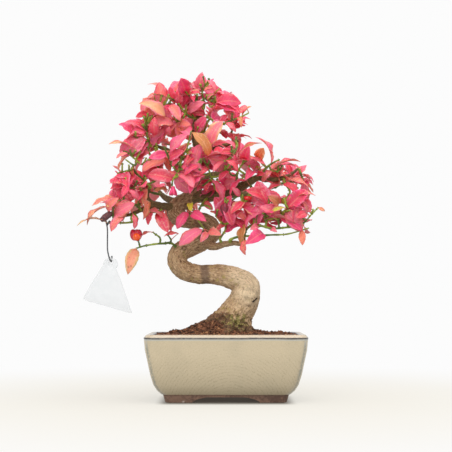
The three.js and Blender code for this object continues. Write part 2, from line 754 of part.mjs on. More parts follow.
// An upright round bar from one height to another.
function bar(x, y, radius, low, high, sides) {
  const geometry = new THREE.CylinderGeometry(radius, radius, high - low, sides);
  return solid(geometry.rotateX(Math.PI / 2).translate(x, y, (low + high) / 2));
}

// The arch between two feet, as a bar with round upper edges that runs right through the pot.
function archBar(width, alongX) {
  const round = 3.4;
  const low = -1;
  const shape = new THREE.Shape();
  shape.moveTo(-width / 2, low);
  shape.lineTo(width / 2, low);
  shape.lineTo(width / 2, FOOT_GAP.height - round);
  shape.absarc(width / 2 - round, FOOT_GAP.height - round, round, 0, Math.PI / 2, false);
  shape.absarc(-width / 2 + round, FOOT_GAP.height - round, round, Math.PI / 2, Math.PI, false);
  const depth = RIM.length + 40;
  const geometry = new THREE.ExtrudeGeometry(shape, { depth, bevelEnabled: false, curveSegments: 3 });
  geometry.translate(0, 0, -depth / 2).rotateX(Math.PI / 2);
  if (alongX) geometry.rotateZ(Math.PI / 2);
  return solid(geometry);
}

const drainPlaces = [-DRAIN.apart / 2, DRAIN.apart / 2];

function potBody() {
  const cuts = [tray(POT_INSIDE), archBar(FOOT_GAP.front, false), archBar(FOOT_GAP.side, true)];
  for (const x of drainPlaces) cuts.push(bar(x, 0, DRAIN.diameter / 2, -1, FLOOR_TOP + 1, 16));
  return tray(POT_PROFILE).subtract(joined(cuts));
}

// A square screen over a drain hole, with square openings between its bars.
function screenBody(x) {
  const half = SCREEN.size / 2;
  const [low, high] = [FLOOR_TOP + GAP, FLOOR_TOP + GAP + SCREEN.thickness];
  const pitch = (SCREEN.size - 2 * SCREEN.bar) / SCREEN.openings;
  const holes = [];
  for (let column = 0; column < SCREEN.openings; column++) {
    for (let row = 0; row < SCREEN.openings; row++) {
      const left = x - half + 1.5 * SCREEN.bar + pitch * column;
      const front = -half + 1.5 * SCREEN.bar + pitch * row;
      const size = pitch - SCREEN.bar;
      holes.push(block([left, front, low - 1], [left + size, front + size, high + 1]));
    }
  }
  return block([x - half, -half, low], [x + half, half, high]).subtract(joined(holes));
}

// The height of the soil: a low mound up the roots, clumps, and coarse grains over it all.
function soilHeight(x, y) {
  const hill = (cx, cy, wide, high) =>
    high * Math.exp(-((x - cx) ** 2 + (y - cy) ** 2) / (2 * wide * wide));
  const grain = 1.5 * (draw(Math.round(x * 7), Math.round(y * 5)) - 0.5);
  const mound = hill(-8, -4, 13, 9) + hill(-32, -6, 9, 5) + hill(20, 4, 16, 4) + hill(0, 20, 16, 6);
  const clumps = hill(-50, -18, 4.5, 5) + hill(-42, 8, 5, 4) + hill(43, -16, 4, 3.4) + hill(55, 2, 5, 3);
  const slope = -1.6 * (x / 75) ** 2;
  return SOIL_LEVEL - 0.4 + mound + clumps + slope + grain;
}

// A sheet of soil over the whole pot, closed by a deep point below it, and cut to the pot's inside.
function soilBody(wood, screens) {
  const [columns, rows] = [13, 9];
  const geometry = new THREE.PlaneGeometry(RIM.length + 10, RIM.depth + 10, columns, rows);
  const places = geometry.getAttribute("position");
  for (let i = 0; i < places.count; i++) {
    places.setZ(i, soilHeight(places.getX(i), places.getY(i)));
  }
  const wide = columns + 1;
  const last = wide * (rows + 1) - 1;
  const rim = [];
  for (let i = 0; i < columns; i++) rim.push([i, i + 1], [last - i, last - i - 1]);
  for (let i = 0; i < rows; i++) {
    rim.push([wide * (i + 1), wide * i], [last - wide * (i + 1), last - wide * i]);
  }
  const deep = places.count;
  const deepPoint = [0, 0, -400];
  const closed = new THREE.BufferGeometry();
  closed.setAttribute("position", new THREE.Float32BufferAttribute([...places.array, ...deepPoint], 3));
  closed.setIndex([...geometry.index.array, ...rim.flatMap(([a, b]) => [a, b, deep])]);
  const pockets = screens.map((_, i) => {
    const [x, half] = [drainPlaces[i], SCREEN.size / 2 + GAP];
    return block([x - half, -half, 0], [x + half, half, FLOOR_TOP + SCREEN.thickness + 2 * GAP]);
  });
  const [[, floorHalf], ...walls] = POT_INSIDE;
  const aboveMound = [SOIL_LEVEL + 30, walls[walls.length - 1][1]];
  const room = tray([[FLOOR_TOP + GAP, floorHalf], ...walls, aboveMound], GAP);
  const filled = solid(closed).intersect(room);
  return largest(filled.subtract(joined([...pockets, wood])));
}

// Bark: low ridges that wind slowly round the stem.
function bark(t, angle) {
  return 1 + 0.035 * Math.sin(3 * angle + 21 * t) + 0.03 * Math.sin(2 * angle - 34 * t + 1);
}

function woodBody(extra) {
  const trunk = new Stem(TRUNK).body(10, extra, bark);
  const roots = ROOTS.map((root) => new Stem(root).body(5, extra));
  const limbs = LIMBS.map((limb) => new Stem(limb).body(5, extra));
  return joined([trunk, ...roots, ...limbs]);
}

// A capsule that has split into lobes round its stalk, or its aril.
function lobes(centre, axis, count, size, tilt) {
  const bodies = [];
  const turn = new THREE.Quaternion().setFromUnitVectors(vector(0, 0, 1), axis);
  for (let i = 0; i < count; i++) {
    const angle = (2 * Math.PI * (i + 0.25)) / count;
    const geometry = new THREE.SphereGeometry(1, 6, 4)
      .scale(...size)
      .translate(size[0] * 0.75, 0, 0)
      .rotateY(tilt)
      .rotateZ(angle)
      .applyQuaternion(turn)
      .translate(...centre);
    bodies.push(solid(geometry));
  }
  return joined(bodies);
}

// A berry: a sphere of its own three sizes.
function berry(centre, size) {
  return solid(new THREE.SphereGeometry(1, 8, 5).scale(...size).translate(...centre));
}

// The fruits, placed where the front view shows them.
function fruitBodies() {
  const open = seen(136, 234.5, -16.5).toArray();
  const small = seen(173, 191.5, -39).toArray();
  const dark = seen(225, 208, -36).toArray();
  const hidden = seen(248, 198, -37).toArray();
  const pod = new Stem([
    [...seen(101, 220, -33).toArray(), 1.5],
    [...seen(105, 217.5, -33).toArray(), 2.3],
    [...seen(109, 215, -33).toArray(), 2.1],
    [...seen(113, 213, -32.5).toArray(), 1],
  ]);
  const arilPlace = [open[0], open[1] - 4, open[2] - 1.8];
  const openAril = berry(arilPlace, [3.5, 3, 3.5]);
  const openArilRoom = berry(arilPlace, [3.8, 3.3, 3.8]);
  return [
    ["capsule_open", "capsule", lobes(open, vector(0, 0, 1), 4, [3.5, 4, 5.2], 0.2).subtract(openArilRoom)],
    ["capsule_open_aril", "aril", openAril],
    ["capsule_pink", "pink", lobes(small, vector(0, 0, 1), 4, [3, 2.5, 4.4], 0.35)],
    ["capsule_dark", "capsule", lobes(dark, vector(0, 0, 1), 3, [2.8, 2.8, 6.2], 0.15)],
    ["aril_right", "aril", berry(hidden, [3.8, 3, 2.2])],
    ["pod_dry", "pod", pod.body(7)],
  ];
}

// The tag: a three-sided plate with round corners and a hole near the top.
function tagBody() {
  const corners = [[110.5, 254.5], [81.5, 299], [134, 314]];
  const y = -32;
  const round = [4.2, 4.5, 4.5];
  const places = corners.map(([column, row]) => seen(column, row, y));
  const shape = new THREE.Shape();
  places.forEach((corner, i) => {
    const towards = (other) =>
      corner.clone().addScaledVector(other.clone().sub(corner).normalize(), round[i]);
    const enter = towards(places[(i + 2) % 3]);
    const leave = towards(places[(i + 1) % 3]);
    if (i === 0) shape.moveTo(enter.x, enter.z);
    else shape.lineTo(enter.x, enter.z);
    shape.quadraticCurveTo(corner.x, corner.z, leave.x, leave.z);
  });
  const hole = seen(...TAG_HOLE);
  const path = new THREE.Path();
  path.absarc(hole.x, hole.z, TAG.hole, 0, 2 * Math.PI, true);
  shape.holes.push(path);
  const geometry = new THREE.ExtrudeGeometry(shape, {
    depth: TAG.thickness,
    bevelEnabled: false,
    curveSegments: 5,
  });
  return solid(geometry.translate(0, 0, -TAG.thickness / 2).rotateX(Math.PI / 2).translate(0, y, 0));
}

// The tag's wire: a turn round the twig, a straight fall, a small twist and a hook in the hole.
function wireBody() {
  const twig = seen(107.5, 223, -30);
  const turn = Array.from({ length: 9 }, (_, i) => {
    const angle = Math.PI * (0.75 - 0.25 * i);
    return [twig.x + 2.4 - 0.5 * i, twig.y - 1.9 * Math.cos(angle), twig.z + 1.9 * Math.sin(angle)];
  });
  const hole = seen(...TAG_HOLE);
  const fall = [
    [107.3, 229, -31.5],
    [107.4, 240, -32],
    [107.5, 249, -32.6],
  ].map((place) => seen(...place).toArray());
  const hook = [
    [hole.x - 2.6, hole.y - 1.8, hole.z + 7],
    [hole.x - 1.2, hole.y - 1.9, hole.z + 2.6],
    [hole.x, hole.y, hole.z + 0.2],
    [hole.x + 0.4, hole.y + 1.9, hole.z + 2.6],
    [hole.x + 0.4, hole.y + 2.2, hole.z + 6],
  ];
  return new Stem([...turn, ...fall, ...hook].map((p) => [...p, TAG.wire])).body(5);
}

const whole = new THREE.Group();

function piece(name, colour, body, roughness) {
  const material = new THREE.MeshStandardMaterial({ color: COLOURS[colour], roughness, metalness: 0 });
  const mesh = new THREE.Mesh(geometryOf(body), material);
  mesh.name = name;
  whole.add(mesh);
}

const limbSamples = [TRUNK, ...LIMBS].flatMap((line) => new Stem(line).samples());
const woodRoom = woodBody(GAP);
const screens = drainPlaces.map(screenBody);

piece("pot", "glaze", potBody(), 0.25);
piece("soil", "soil", soilBody(woodRoom, screens), 0.95);
piece("trunk", "bark", woodBody(0), 0.8);
screens.forEach((body, i) => piece(["screen_left", "screen_right"][i], "screen", body, 0.6));

// What is placed first keeps its form, and each later piece is cut clear of it.
const placed = [woodRoom];
const tag = tagBody();
const wire = wireBody();
piece("tag", "tag", tag, 0.35);
piece("tag_wire", "wire", wire, 0.5);

const fruits = fruitBodies();
for (const [name, colour, body] of fruits) piece(name, colour, body, 0.4);

const sprays = [
  ...SPRAYS.map((spray, index) => shownSpray(spray, limbSamples, 100 * (index + 1))),
  ...FAR_SPRAYS.map((spray, index) => farSpray(spray, limbSamples, 100 * (index + 41))),
];
const looseRoom = [wire, tag, ...fruits.map(([, , body]) => body)].map((body) => {
  const { min, max } = body.boundingBox();
  const middle = min.map((value, axis) => (value + max[axis]) / 2);
  const scale = min.map((value, axis) => 1 + (2 * GAP) / (max[axis] - value));
  return body.translate(middle.map((v) => -v)).scale(scale).translate(middle);
});
placed.push(...looseRoom);
for (const spray of sprays) {
  const body = largest(sprayBody(spray).subtract(joined(placed)));
  piece(spray.name, spray.colour, body, 0.6);
  placed.push(sprayBody(spray, GAP));
}

// The origin goes under the middle of the whole object.
const box = new THREE.Box3().setFromObject(whole);
const middle = box.getCenter(new THREE.Vector3());
whole.position.set(-middle.x, -middle.y, -box.min.z);

export default whole;
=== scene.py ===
"""A euonymus bonsai in its autumn leaves, in a glazed tray pot, with a bare tag on a wire.

Lengths are worked out in millimetres from the middle of the pot, with the front of the tree
towards -Y. They become metres in the frame of the CAD model when a mesh is made.
"""

import logging
import math
from dataclasses import dataclass, field
from enum import Enum
from typing import Any, Callable, Optional, Sequence, Union

import bpy
import numpy as np
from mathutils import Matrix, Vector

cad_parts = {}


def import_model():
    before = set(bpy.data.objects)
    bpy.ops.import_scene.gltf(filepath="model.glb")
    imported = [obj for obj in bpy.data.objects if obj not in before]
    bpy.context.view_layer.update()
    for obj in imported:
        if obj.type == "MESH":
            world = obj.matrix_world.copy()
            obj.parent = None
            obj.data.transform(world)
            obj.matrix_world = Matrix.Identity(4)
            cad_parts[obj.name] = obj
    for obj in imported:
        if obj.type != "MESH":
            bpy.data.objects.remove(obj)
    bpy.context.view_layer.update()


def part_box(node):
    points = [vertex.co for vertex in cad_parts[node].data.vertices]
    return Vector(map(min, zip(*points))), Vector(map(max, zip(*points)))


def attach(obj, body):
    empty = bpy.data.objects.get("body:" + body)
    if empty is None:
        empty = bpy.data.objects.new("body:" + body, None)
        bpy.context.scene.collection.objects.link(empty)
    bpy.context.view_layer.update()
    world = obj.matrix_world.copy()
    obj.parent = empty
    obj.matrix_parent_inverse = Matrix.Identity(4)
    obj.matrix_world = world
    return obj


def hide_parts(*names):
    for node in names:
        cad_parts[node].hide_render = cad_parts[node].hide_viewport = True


LOG = logging.getLogger("bonsai")

Array = np.ndarray


class Slot(Enum):
    """The record's material slots."""

    POT = "glazed_pot"
    SOIL = "soil"
    BARK = "bark"
    PINK = "leaf_pink"
    RED = "leaf_red"
    SALMON = "leaf_salmon"
    CAPSULE = "capsule"
    ARIL = "aril"
    POD = "pod"
    TAG = "tag"
    WIRE = "wire"
    SCREEN = "screen"


class Tint(Enum):
    """Leaf colours as they show in daylight, by the letter that a leaf's row uses."""

    M = (236, 64, 116)
    P = (238, 106, 132)
    R = (232, 62, 94)
    D = (186, 36, 60)
    S = (238, 118, 108)
    O = (240, 160, 122)
    B = (182, 112, 68)
    G = (168, 166, 56)
    K = (216, 178, 112)
    Y = (210, 198, 48)


# ----- numbers and arrays


def draw(first: Any, second: Any) -> Any:
    """A seeded draw: the part after the point of a large multiple of a sine.

    Args:
        first: A whole number, or an array of them.
        second: Another whole number.

    Returns:
        A number from 0 to 1, or an array of them.
    """
    wave = np.sin(np.asarray(first) * 127.1 + second * 311.7 + 17.3) * 43758.5453
    return wave - np.floor(wave)


def unit(vectors: Array) -> Array:
    """Vectors over their own lengths."""
    return vectors / np.maximum(np.linalg.norm(vectors, axis=-1, keepdims=True), 1e-12)


def smoothstep(low: float, high: float, values: Array) -> Array:
    """Zero below low, one above high, and 3s^2 - 2s^3 between."""
    share = np.clip((values - low) / (high - low), 0.0, 1.0)
    return share * share * (3.0 - 2.0 * share)


def hill(points: Array, centre: Sequence[float], wide: float) -> Array:
    """A bell of height one round a centre: e to minus half the square of distance over width."""
    away = np.sum((points - np.asarray(centre)) ** 2, axis=-1)
    return np.exp(-away / (2.0 * wide * wide))


def ripple(points: Array, wavelength: float, seed: int) -> Array:
    """Rough lumps: the sum of ten sine waves in seeded directions.

    Args:
        points: Places, as rows of three numbers.
        wavelength: The middle wavelength, in the points' unit.
        seed: Picks the directions and phases.

    Returns:
        A value of about -1 to 1 for each point.
    """
    rng = np.random.default_rng(seed)
    ways = unit(rng.normal(size=(10, 3))) * rng.uniform(0.7, 1.5, (10, 1)) / wavelength
    phases = rng.uniform(0.0, 2.0 * math.pi, 10)
    return np.sin(2.0 * math.pi * (points @ ways.T) + phases).sum(axis=-1) / math.sqrt(10.0)


def linear(colour: Any) -> Array:
    """A display colour from 0 to 255 as linear light: ((c + 0.055) / 1.055) ^ 2.4."""
    share = np.asarray(colour, float) / 255.0
    return np.where(share <= 0.04045, share / 12.92, ((share + 0.055) / 1.055) ** 2.4)


@dataclass(frozen=True)
class FrontView:
    """The place that the tree is looked at from, which its drawn points refer to."""

    distance: float = 1200.0
    height: float = 101.5
    middle: float = 226.0
    level: float = 297.0

    def seen(self, column: Any, row: Any, depth: Any) -> Array:
        """The point at a depth that the front view shows at this column and row."""
        scale = (self.distance + np.asarray(depth, float)) / self.distance
        across = (np.asarray(column, float) - self.middle) * scale
        up = self.height + (self.level - np.asarray(row, float)) * scale
        return np.stack(np.broadcast_arrays(across, depth, up), axis=-1).astype(float)

    def shown(self, points: Array) -> Array:
        """Where the front view shows points, as rows of a column and a row."""
        scale = self.distance / (self.distance + points[..., 1])
        column = self.middle + points[..., 0] * scale
        row = self.level - (points[..., 2] - self.height) * scale
        return np.stack([column, row], axis=-1)


VIEW = FrontView()


# ----- patches of surface


@dataclass
class Patch:
    """Points with the faces between them, and values that each point carries."""

    points: Array
    quads: Array
    tris: Array
    marks: dict[str, Array] = field(default_factory=dict)

    @staticmethod
    def join(patches: Sequence["Patch"]) -> "Patch":
        """All the patches as one, with the marks that the first one has."""
        starts = np.cumsum([0] + [len(patch.points) for patch in patches[:-1]])
        names = patches[0].marks.keys()
        return Patch(
            np.concatenate([patch.points for patch in patches]),
            np.concatenate([patch.quads + start for patch, start in zip(patches, starts)]),
            np.concatenate([patch.tris + start for patch, start in zip(patches, starts)]),
            {name: np.concatenate([patch.marks[name] for patch in patches]) for name in names},
        )

    def mark(self, **values: Any) -> "Patch":
        """The patch with the same values set on each of its points."""
        for name, value in values.items():
            array = np.asarray(value, float)
            if array.ndim == 0 or len(array) != len(self.points):
                array = np.broadcast_to(array, (len(self.points), *array.shape)).copy()
            self.marks[name] = array
        return self


NO_TRIS = np.zeros((0, 3), int)


def loft(rings: Array) -> Patch:
    """A closed skin over rings that lie one after another, shut at each end by a middle point.

    Args:
        rings: Points by ring and by place round it, counter-clockwise about the way they go.

    Returns:
        The patch. Quad (i, j) joins place j and j + 1 of ring i to those of ring i + 1.
    """
    count, sides = rings.shape[:2]
    index = np.arange(count * sides).reshape(count, sides)
    after = np.roll(index, -1, axis=1)
    quads = np.stack([index[:-1], after[:-1], after[1:], index[1:]], axis=-1).reshape(-1, 4)
    poles = np.array([rings[0].mean(axis=0), rings[-1].mean(axis=0)])
    first = np.full(sides, count * sides)
    tris = np.concatenate(
        [
            np.stack([first, after[0], index[0]], axis=-1),
            np.stack([first + 1, index[-1], after[-1]], axis=-1),
        ]
    )
    return Patch(np.concatenate([rings.reshape(-1, 3), poles]), quads, tris)


def ellipsoid(centre: Any, sizes: Any, turn: Optional[Array] = None, fine: int = 12) -> Patch:
    """An ellipsoid: circles of radius sin(v) at height cos(v), stretched, turned and moved.

    Args:
        centre: Its middle.
        sizes: Its three half lengths.
        turn: A matrix whose columns are its axes.
        fine: The number of circles.

    Returns:
        The closed patch.
    """
    rise = np.linspace(math.pi, 0.0, fine + 1)[1:-1, None]
    around = np.linspace(0.0, 2.0 * math.pi, 2 * fine, endpoint=False)[None, :]
    ball = np.stack(
        [np.sin(rise) * np.cos(around), np.sin(rise) * np.sin(around), np.cos(rise) + 0 * around],
        axis=-1,
    )
    patch = loft(ball)
    patch.points[-2:] = [(0, 0, -1), (0, 0, 1)]
    points = patch.points * np.asarray(sizes, float)
    patch.points = points @ (np.eye(3) if turn is None else turn).T + np.asarray(centre)
    return patch


class Stem:
    """A smooth line through [x, y, z, radius] points."""

    def __init__(self, points: Any) -> None:
        """Keeps the points as an array."""
        self.points = np.asarray(points, float)
        self.spans = len(self.points) - 1

    def runs(self, shares: Array) -> Array:
        """Points at shares of the line, on the straight runs between its points."""
        place = np.asarray(shares, float) * self.spans
        start = np.minimum(place.astype(int), self.spans - 1)
        rest = (place - start)[..., None]
        return self.points[start, :3] * (1.0 - rest) + self.points[start + 1, :3] * rest

    def samples(self) -> Array:
        """Six points for each span, and the last one."""
        count = 6 * self.spans
        return self.runs(np.arange(count + 1) / count)

    def smooth(self, per_span: int) -> tuple[Array, Array]:
        """Catmull-Rom points: a cubic between each two, with slopes from their neighbours.

        Args:
            per_span: Steps between two of the line's points.

        Returns:
            The middles and the radii of the rings.
        """
        line = self.points[:, :3]
        ends = np.concatenate([[2 * line[0] - line[1]], line, [2 * line[-1] - line[-2]]])
        place = np.linspace(0.0, self.spans, self.spans * per_span + 1)
        start = np.minimum(place.astype(int), self.spans - 1)
        t = (place - start)[:, None]
        before, here, there, beyond = (ends[start + k] for k in range(4))
        leave, arrive = 0.5 * (there - before), 0.5 * (beyond - here)
        bend = 3 * (there - here) - 2 * leave - arrive
        middles = here + leave * t + bend * t**2 + (leave + arrive - 2 * (there - here)) * t**3
        return middles, np.interp(place, np.arange(self.spans + 1), self.points[:, 3])

    def frames(self, middles: Array) -> tuple[Array, Array, Array]:
        """Tangents, and the two directions across, which turn as little as they can."""
        along = unit(np.gradient(middles, axis=0))
        normals = np.zeros_like(along)
        normal = np.array([0.3, 1.0, 0.1])
        for i, tangent in enumerate(along):
            normal = normal - tangent * (normal @ tangent)
            normal = normal / max(np.linalg.norm(normal), 1e-9)
            normals[i] = normal
        return along, normals, np.cross(along, normals)

    def tube(
        self,
        sides: int,
        per_span: int,
        relief: Optional[Callable[[Array, Array], Array]] = None,
        scale: float = 1.0,
    ) -> Patch:
        """A round tube along the line: middle + radius * (cos a * normal + sin a * across).

        Args:
            sides: Places round the tube.
            per_span: Rings between two of the line's points.
            relief: Changes the radius by the share of the line and the angle.
            scale: Changes the radius all over.

        Returns:
            The closed patch, with rounded ends.
        """
        middles, radii = self.smooth(per_span)
        _, normals, across = self.frames(middles)
        share = np.linspace(0.0, 1.0, len(middles))[:, None]
        angle = np.linspace(0.0, 2.0 * math.pi, sides, endpoint=False)[None, :]
        swell = relief(share, angle) if relief else 1.0 + 0 * angle
        radius = radii[:, None] * scale * swell
        ring = np.cos(angle)[..., None] * normals[:, None]
        ring = ring + np.sin(angle)[..., None] * across[:, None]
        return loft(middles[:, None] + radius[..., None] * ring)


# ----- shaders

Number = Union[float, "Value"]
Colour = tuple[int, int, int]
Pair = tuple[Colour, Colour]


class Value:
    """A socket that carries one number, with sums that add Math nodes."""

    def __init__(self, shader: "Shader", socket: Any) -> None:
        """Keeps the shader and the socket."""
        self.shader = shader
        self.socket = socket

    def math(self, operation: str, first: Number, second: Number = 0.0) -> "Value":
        """A Math node's result on two numbers or sockets."""
        node = self.shader.node("ShaderNodeMath", {"operation": operation}, {0: first, 1: second})
        return Value(self.shader, node.outputs[0])

    def __add__(self, other: Number) -> "Value":
        """This plus other."""
        return self.math("ADD", self, other)

    def __radd__(self, other: Number) -> "Value":
        """Other plus this."""
        return self.math("ADD", other, self)

    def __sub__(self, other: Number) -> "Value":
        """This minus other."""
        return self.math("SUBTRACT", self, other)

    def __rsub__(self, other: Number) -> "Value":
        """Other minus this."""
        return self.math("SUBTRACT", other, self)

    def __mul__(self, other: Number) -> "Value":
        """This times other."""
        return self.math("MULTIPLY", self, other)

    def __truediv__(self, other: Number) -> "Value":
        """This over other."""
        return self.math("DIVIDE", self, other)

    def __abs__(self) -> "Value":
        """This without its sign."""
        return self.math("ABSOLUTE", self)

    def exponent(self) -> "Value":
        """The number e to the power of this."""
        return self.math("EXPONENT", self)

    def at_least(self, other: Number) -> "Value":
        """The larger of this and other."""
        return self.math("MAXIMUM", self, other)

    def fraction(self) -> "Value":
        """The part after the point."""
        return self.math("FRACT", self)

    def step(self, start: float, end: float) -> "Value":
        """Zero at start and one at end, with a smooth rise or fall between."""
        falls = start > end
        limits = {"From Min": min(start, end), "From Max": max(start, end)}
        links = {"Value": self, **limits, "To Min": float(falls), "To Max": float(not falls)}
        settings = {"interpolation_type": "SMOOTHSTEP", "clamp": True}
        node = self.shader.node("ShaderNodeMapRange", settings, links)
        return Value(self.shader, node.outputs[0])


class Nodes:
    """A node tree that starts empty."""

    def __init__(self, tree: bpy.types.NodeTree) -> None:
        """Keeps the tree and clears it."""
        self.tree = tree
        self.tree.nodes.clear()

    def feed(self, socket: Any, value: Any) -> None:
        """Links a Value or a socket to a socket, or sets a plain value on it."""
        source = value.socket if isinstance(value, Value) else value
        if isinstance(source, bpy.types.NodeSocket):
            self.tree.links.new(source, socket)
        else:
            socket.default_value = source

    def node(
        self, kind: str, settings: Optional[dict] = None, inputs: Optional[dict] = None
    ) -> bpy.types.Node:
        """Any node.

        Args:
            kind: The node's type.
            settings: Its properties, which are set first.
            inputs: A value, colour, Value or socket for each input's name or place.

        Returns:
            The node.
        """
        node = self.tree.nodes.new(kind)
        for name, value in (settings or {}).items():
            setattr(node, name, value)
        for name, value in (inputs or {}).items():
            self.feed(node.inputs[name], value)
        return node


class Shader(Nodes):
    """One material's nodes, round a Principled surface."""

    def __init__(self, name: str) -> None:
        """Starts the material with an empty Principled surface."""
        self.material = bpy.data.materials.new(name)
        self.material.use_nodes = True
        super().__init__(self.material.node_tree)
        self.surface = self.node("ShaderNodeBsdfPrincipled")
        self.node("ShaderNodeOutputMaterial", None, {"Surface": self.surface.outputs[0]})

    def object_place(self, middle: Sequence[float] = (0, 0, 0)) -> Any:
        """Object coordinates, with a point moved to zero."""
        source = self.node("ShaderNodeTexCoord").outputs["Object"]
        moved = {"Vector": source, "Location": tuple(-length for length in middle)}
        return self.node("ShaderNodeMapping", None, moved).outputs[0]

    def attribute(self, name: str) -> Any:
        """The node that reads one of the mesh's own attributes."""
        return self.node("ShaderNodeAttribute", {"attribute_name": name})

    def mark(self, name: str) -> Value:
        """One number that the mesh carries."""
        return Value(self, self.attribute(name).outputs["Fac"])

    def split(self, vector: Any) -> tuple[Value, Value, Value]:
        """A vector's three numbers."""
        node = self.node("ShaderNodeSeparateXYZ", None, {0: vector})
        return tuple(Value(self, output) for output in node.outputs)

    def noise(self, place: Any, scale: float, detail: float = 3.0, rough: float = 0.55) -> Value:
        """Soft noise from 0 to 1."""
        links = {"Vector": place, "Scale": scale, "Detail": detail, "Roughness": rough}
        return Value(self, self.node("ShaderNodeTexNoise", None, links).outputs[0])

    def cells(self, place: Any, scale: float, feature: str = "F1") -> Value:
        """The distance that a cell pattern gives."""
        links = {"Vector": place, "Scale": scale}
        node = self.node("ShaderNodeTexVoronoi", {"feature": feature}, links)
        return Value(self, node.outputs["Distance"])

    def mix(self, first: Any, second: Any, share: Number) -> Any:
        """A colour between two colours, each a display colour or a socket."""
        settings = {"data_type": "RGBA", "blend_type": "MIX"}
        sides = [(*linear(c), 1.0) if isinstance(c, tuple) else c for c in (first, second)]
        node = self.node("ShaderNodeMix", settings, {0: share, 6: sides[0], 7: sides[1]})
        return node.outputs[2]

    def layers(self, base: Any, *coats: tuple[Any, Number]) -> Any:
        """A base colour with others laid over it one after another, each by its own share."""
        for colour, share in coats:
            base = self.mix(base, colour, share)
        return base

    def bump(self, height: Value, depth_mm: float, strength: float = 1.0) -> Any:
        """A normal that is tilted by a height from 0 to 1, for a depth in millimetres."""
        links = {"Height": height, "Distance": depth_mm * 0.001, "Strength": strength}
        return self.node("ShaderNodeBump", None, links).outputs[0]

    def finish(self, **inputs: Any) -> bpy.types.Material:
        """Sets the surface's inputs, named as Blender names them but with _ for a space."""
        for name, value in inputs.items():
            socket = self.surface.inputs[name.replace("_", " ")]
            display = isinstance(value, tuple) and len(value) == 3 and "Color" in socket.name
            self.feed(socket, (*linear(value), 1.0) if display else value)
        return self.material


@dataclass(frozen=True)
class LeafFinish:
    """A thin autumn leaf: its own heart and margin colours, veins, mottling and dark specks."""

    bleached: Colour = (255, 232, 218)
    deep: Colour = (190, 24, 70)
    vein: Colour = (255, 196, 150)
    speck: Colour = (96, 40, 40)
    blot: Colour = (150, 92, 60)
    under: Colour = (244, 190, 178)
    under_pale: float = 0.35
    vein_pale: float = 0.2
    veins_a_side: float = 7.5

    def make(self) -> bpy.types.Material:
        """The material, which reads each leaf's colours and its own length and breadth."""
        shader = Shader("leaf")
        place = shader.object_place()
        heart, margin = (shader.attribute(name).outputs["Color"] for name in ("heart", "margin"))
        along, across, _ = shader.split(shader.attribute("blade").outputs["Vector"])
        aged = shader.mark("speck")
        edge = abs(across)
        broad = shader.noise(place, 95.0, 2.0)
        fine = shader.noise(place, 620.0, 3.0)
        rim = (edge + (broad - 0.5) * 0.9).step(0.35, 1.05)
        pale = (fine - 0.5) * 1.1 + (broad - 0.5) * 0.8
        ribs = abs((along * self.veins_a_side - edge * 1.6).fraction() - 0.5)
        side_veins = ribs.step(0.1, 0.0) * edge.step(1.0, 0.7)
        veins = side_veins * 0.45 + edge.step(0.13, 0.03)
        spots = shader.cells(place, 330.0).step(0.2, 0.1)
        spots = spots * shader.noise(place, 140.0).step(0.5, 0.6)
        blots = shader.noise(place, 210.0, 2.0).step(0.6, 0.72)
        colour = shader.layers(
            shader.mix(heart, margin, rim),
            (self.bleached, pale.step(0.02, 0.5) * 0.36),
            (self.deep, pale.step(-0.05, -0.6) * 0.3),
            (self.vein, veins * self.vein_pale),
            (self.speck, spots * aged),
            (self.blot, blots * aged * 0.6),
            (self.under, shader.mark("under") * self.under_pale),
        )
        return shader.finish(
            Base_Color=colour,
            Roughness=0.42 + fine * 0.2,
            Specular_IOR_Level=0.35,
            Subsurface_Weight=0.35,
            Subsurface_Radius=(1.0, 0.35, 0.3),
            Subsurface_Scale=0.0018,
            Normal=shader.bump(fine * 0.4 - veins * 0.6, 0.12, 0.7),
        )


@dataclass(frozen=True)
class TwigFinish:
    """Green young bark that turns olive and brown, with dark joints."""

    green: Pair = ((88, 112, 44), (152, 172, 58))
    brown: Colour = (116, 96, 58)
    pale: Colour = (176, 186, 96)
    joint: Colour = (74, 66, 40)

    def make(self) -> bpy.types.Material:
        """The material, darker where the mesh's joint mark is high."""
        shader = Shader("twig")
        place = shader.object_place()
        patches = shader.noise(place, 70.0, 3.0)
        fine = shader.noise(place, 900.0, 2.0)
        colour = shader.layers(
            shader.mix(*self.green, patches.step(0.4, 0.56)),
            (self.brown, patches.step(0.62, 0.74)),
            (self.pale, (fine - 0.5).step(0.0, 0.3) * 0.5),
            (self.joint, shader.mark("joint")),
        )
        return shader.finish(
            Base_Color=colour,
            Roughness=0.5 + fine * 0.2,
            Normal=shader.bump(fine, 0.15, 0.6),
        )


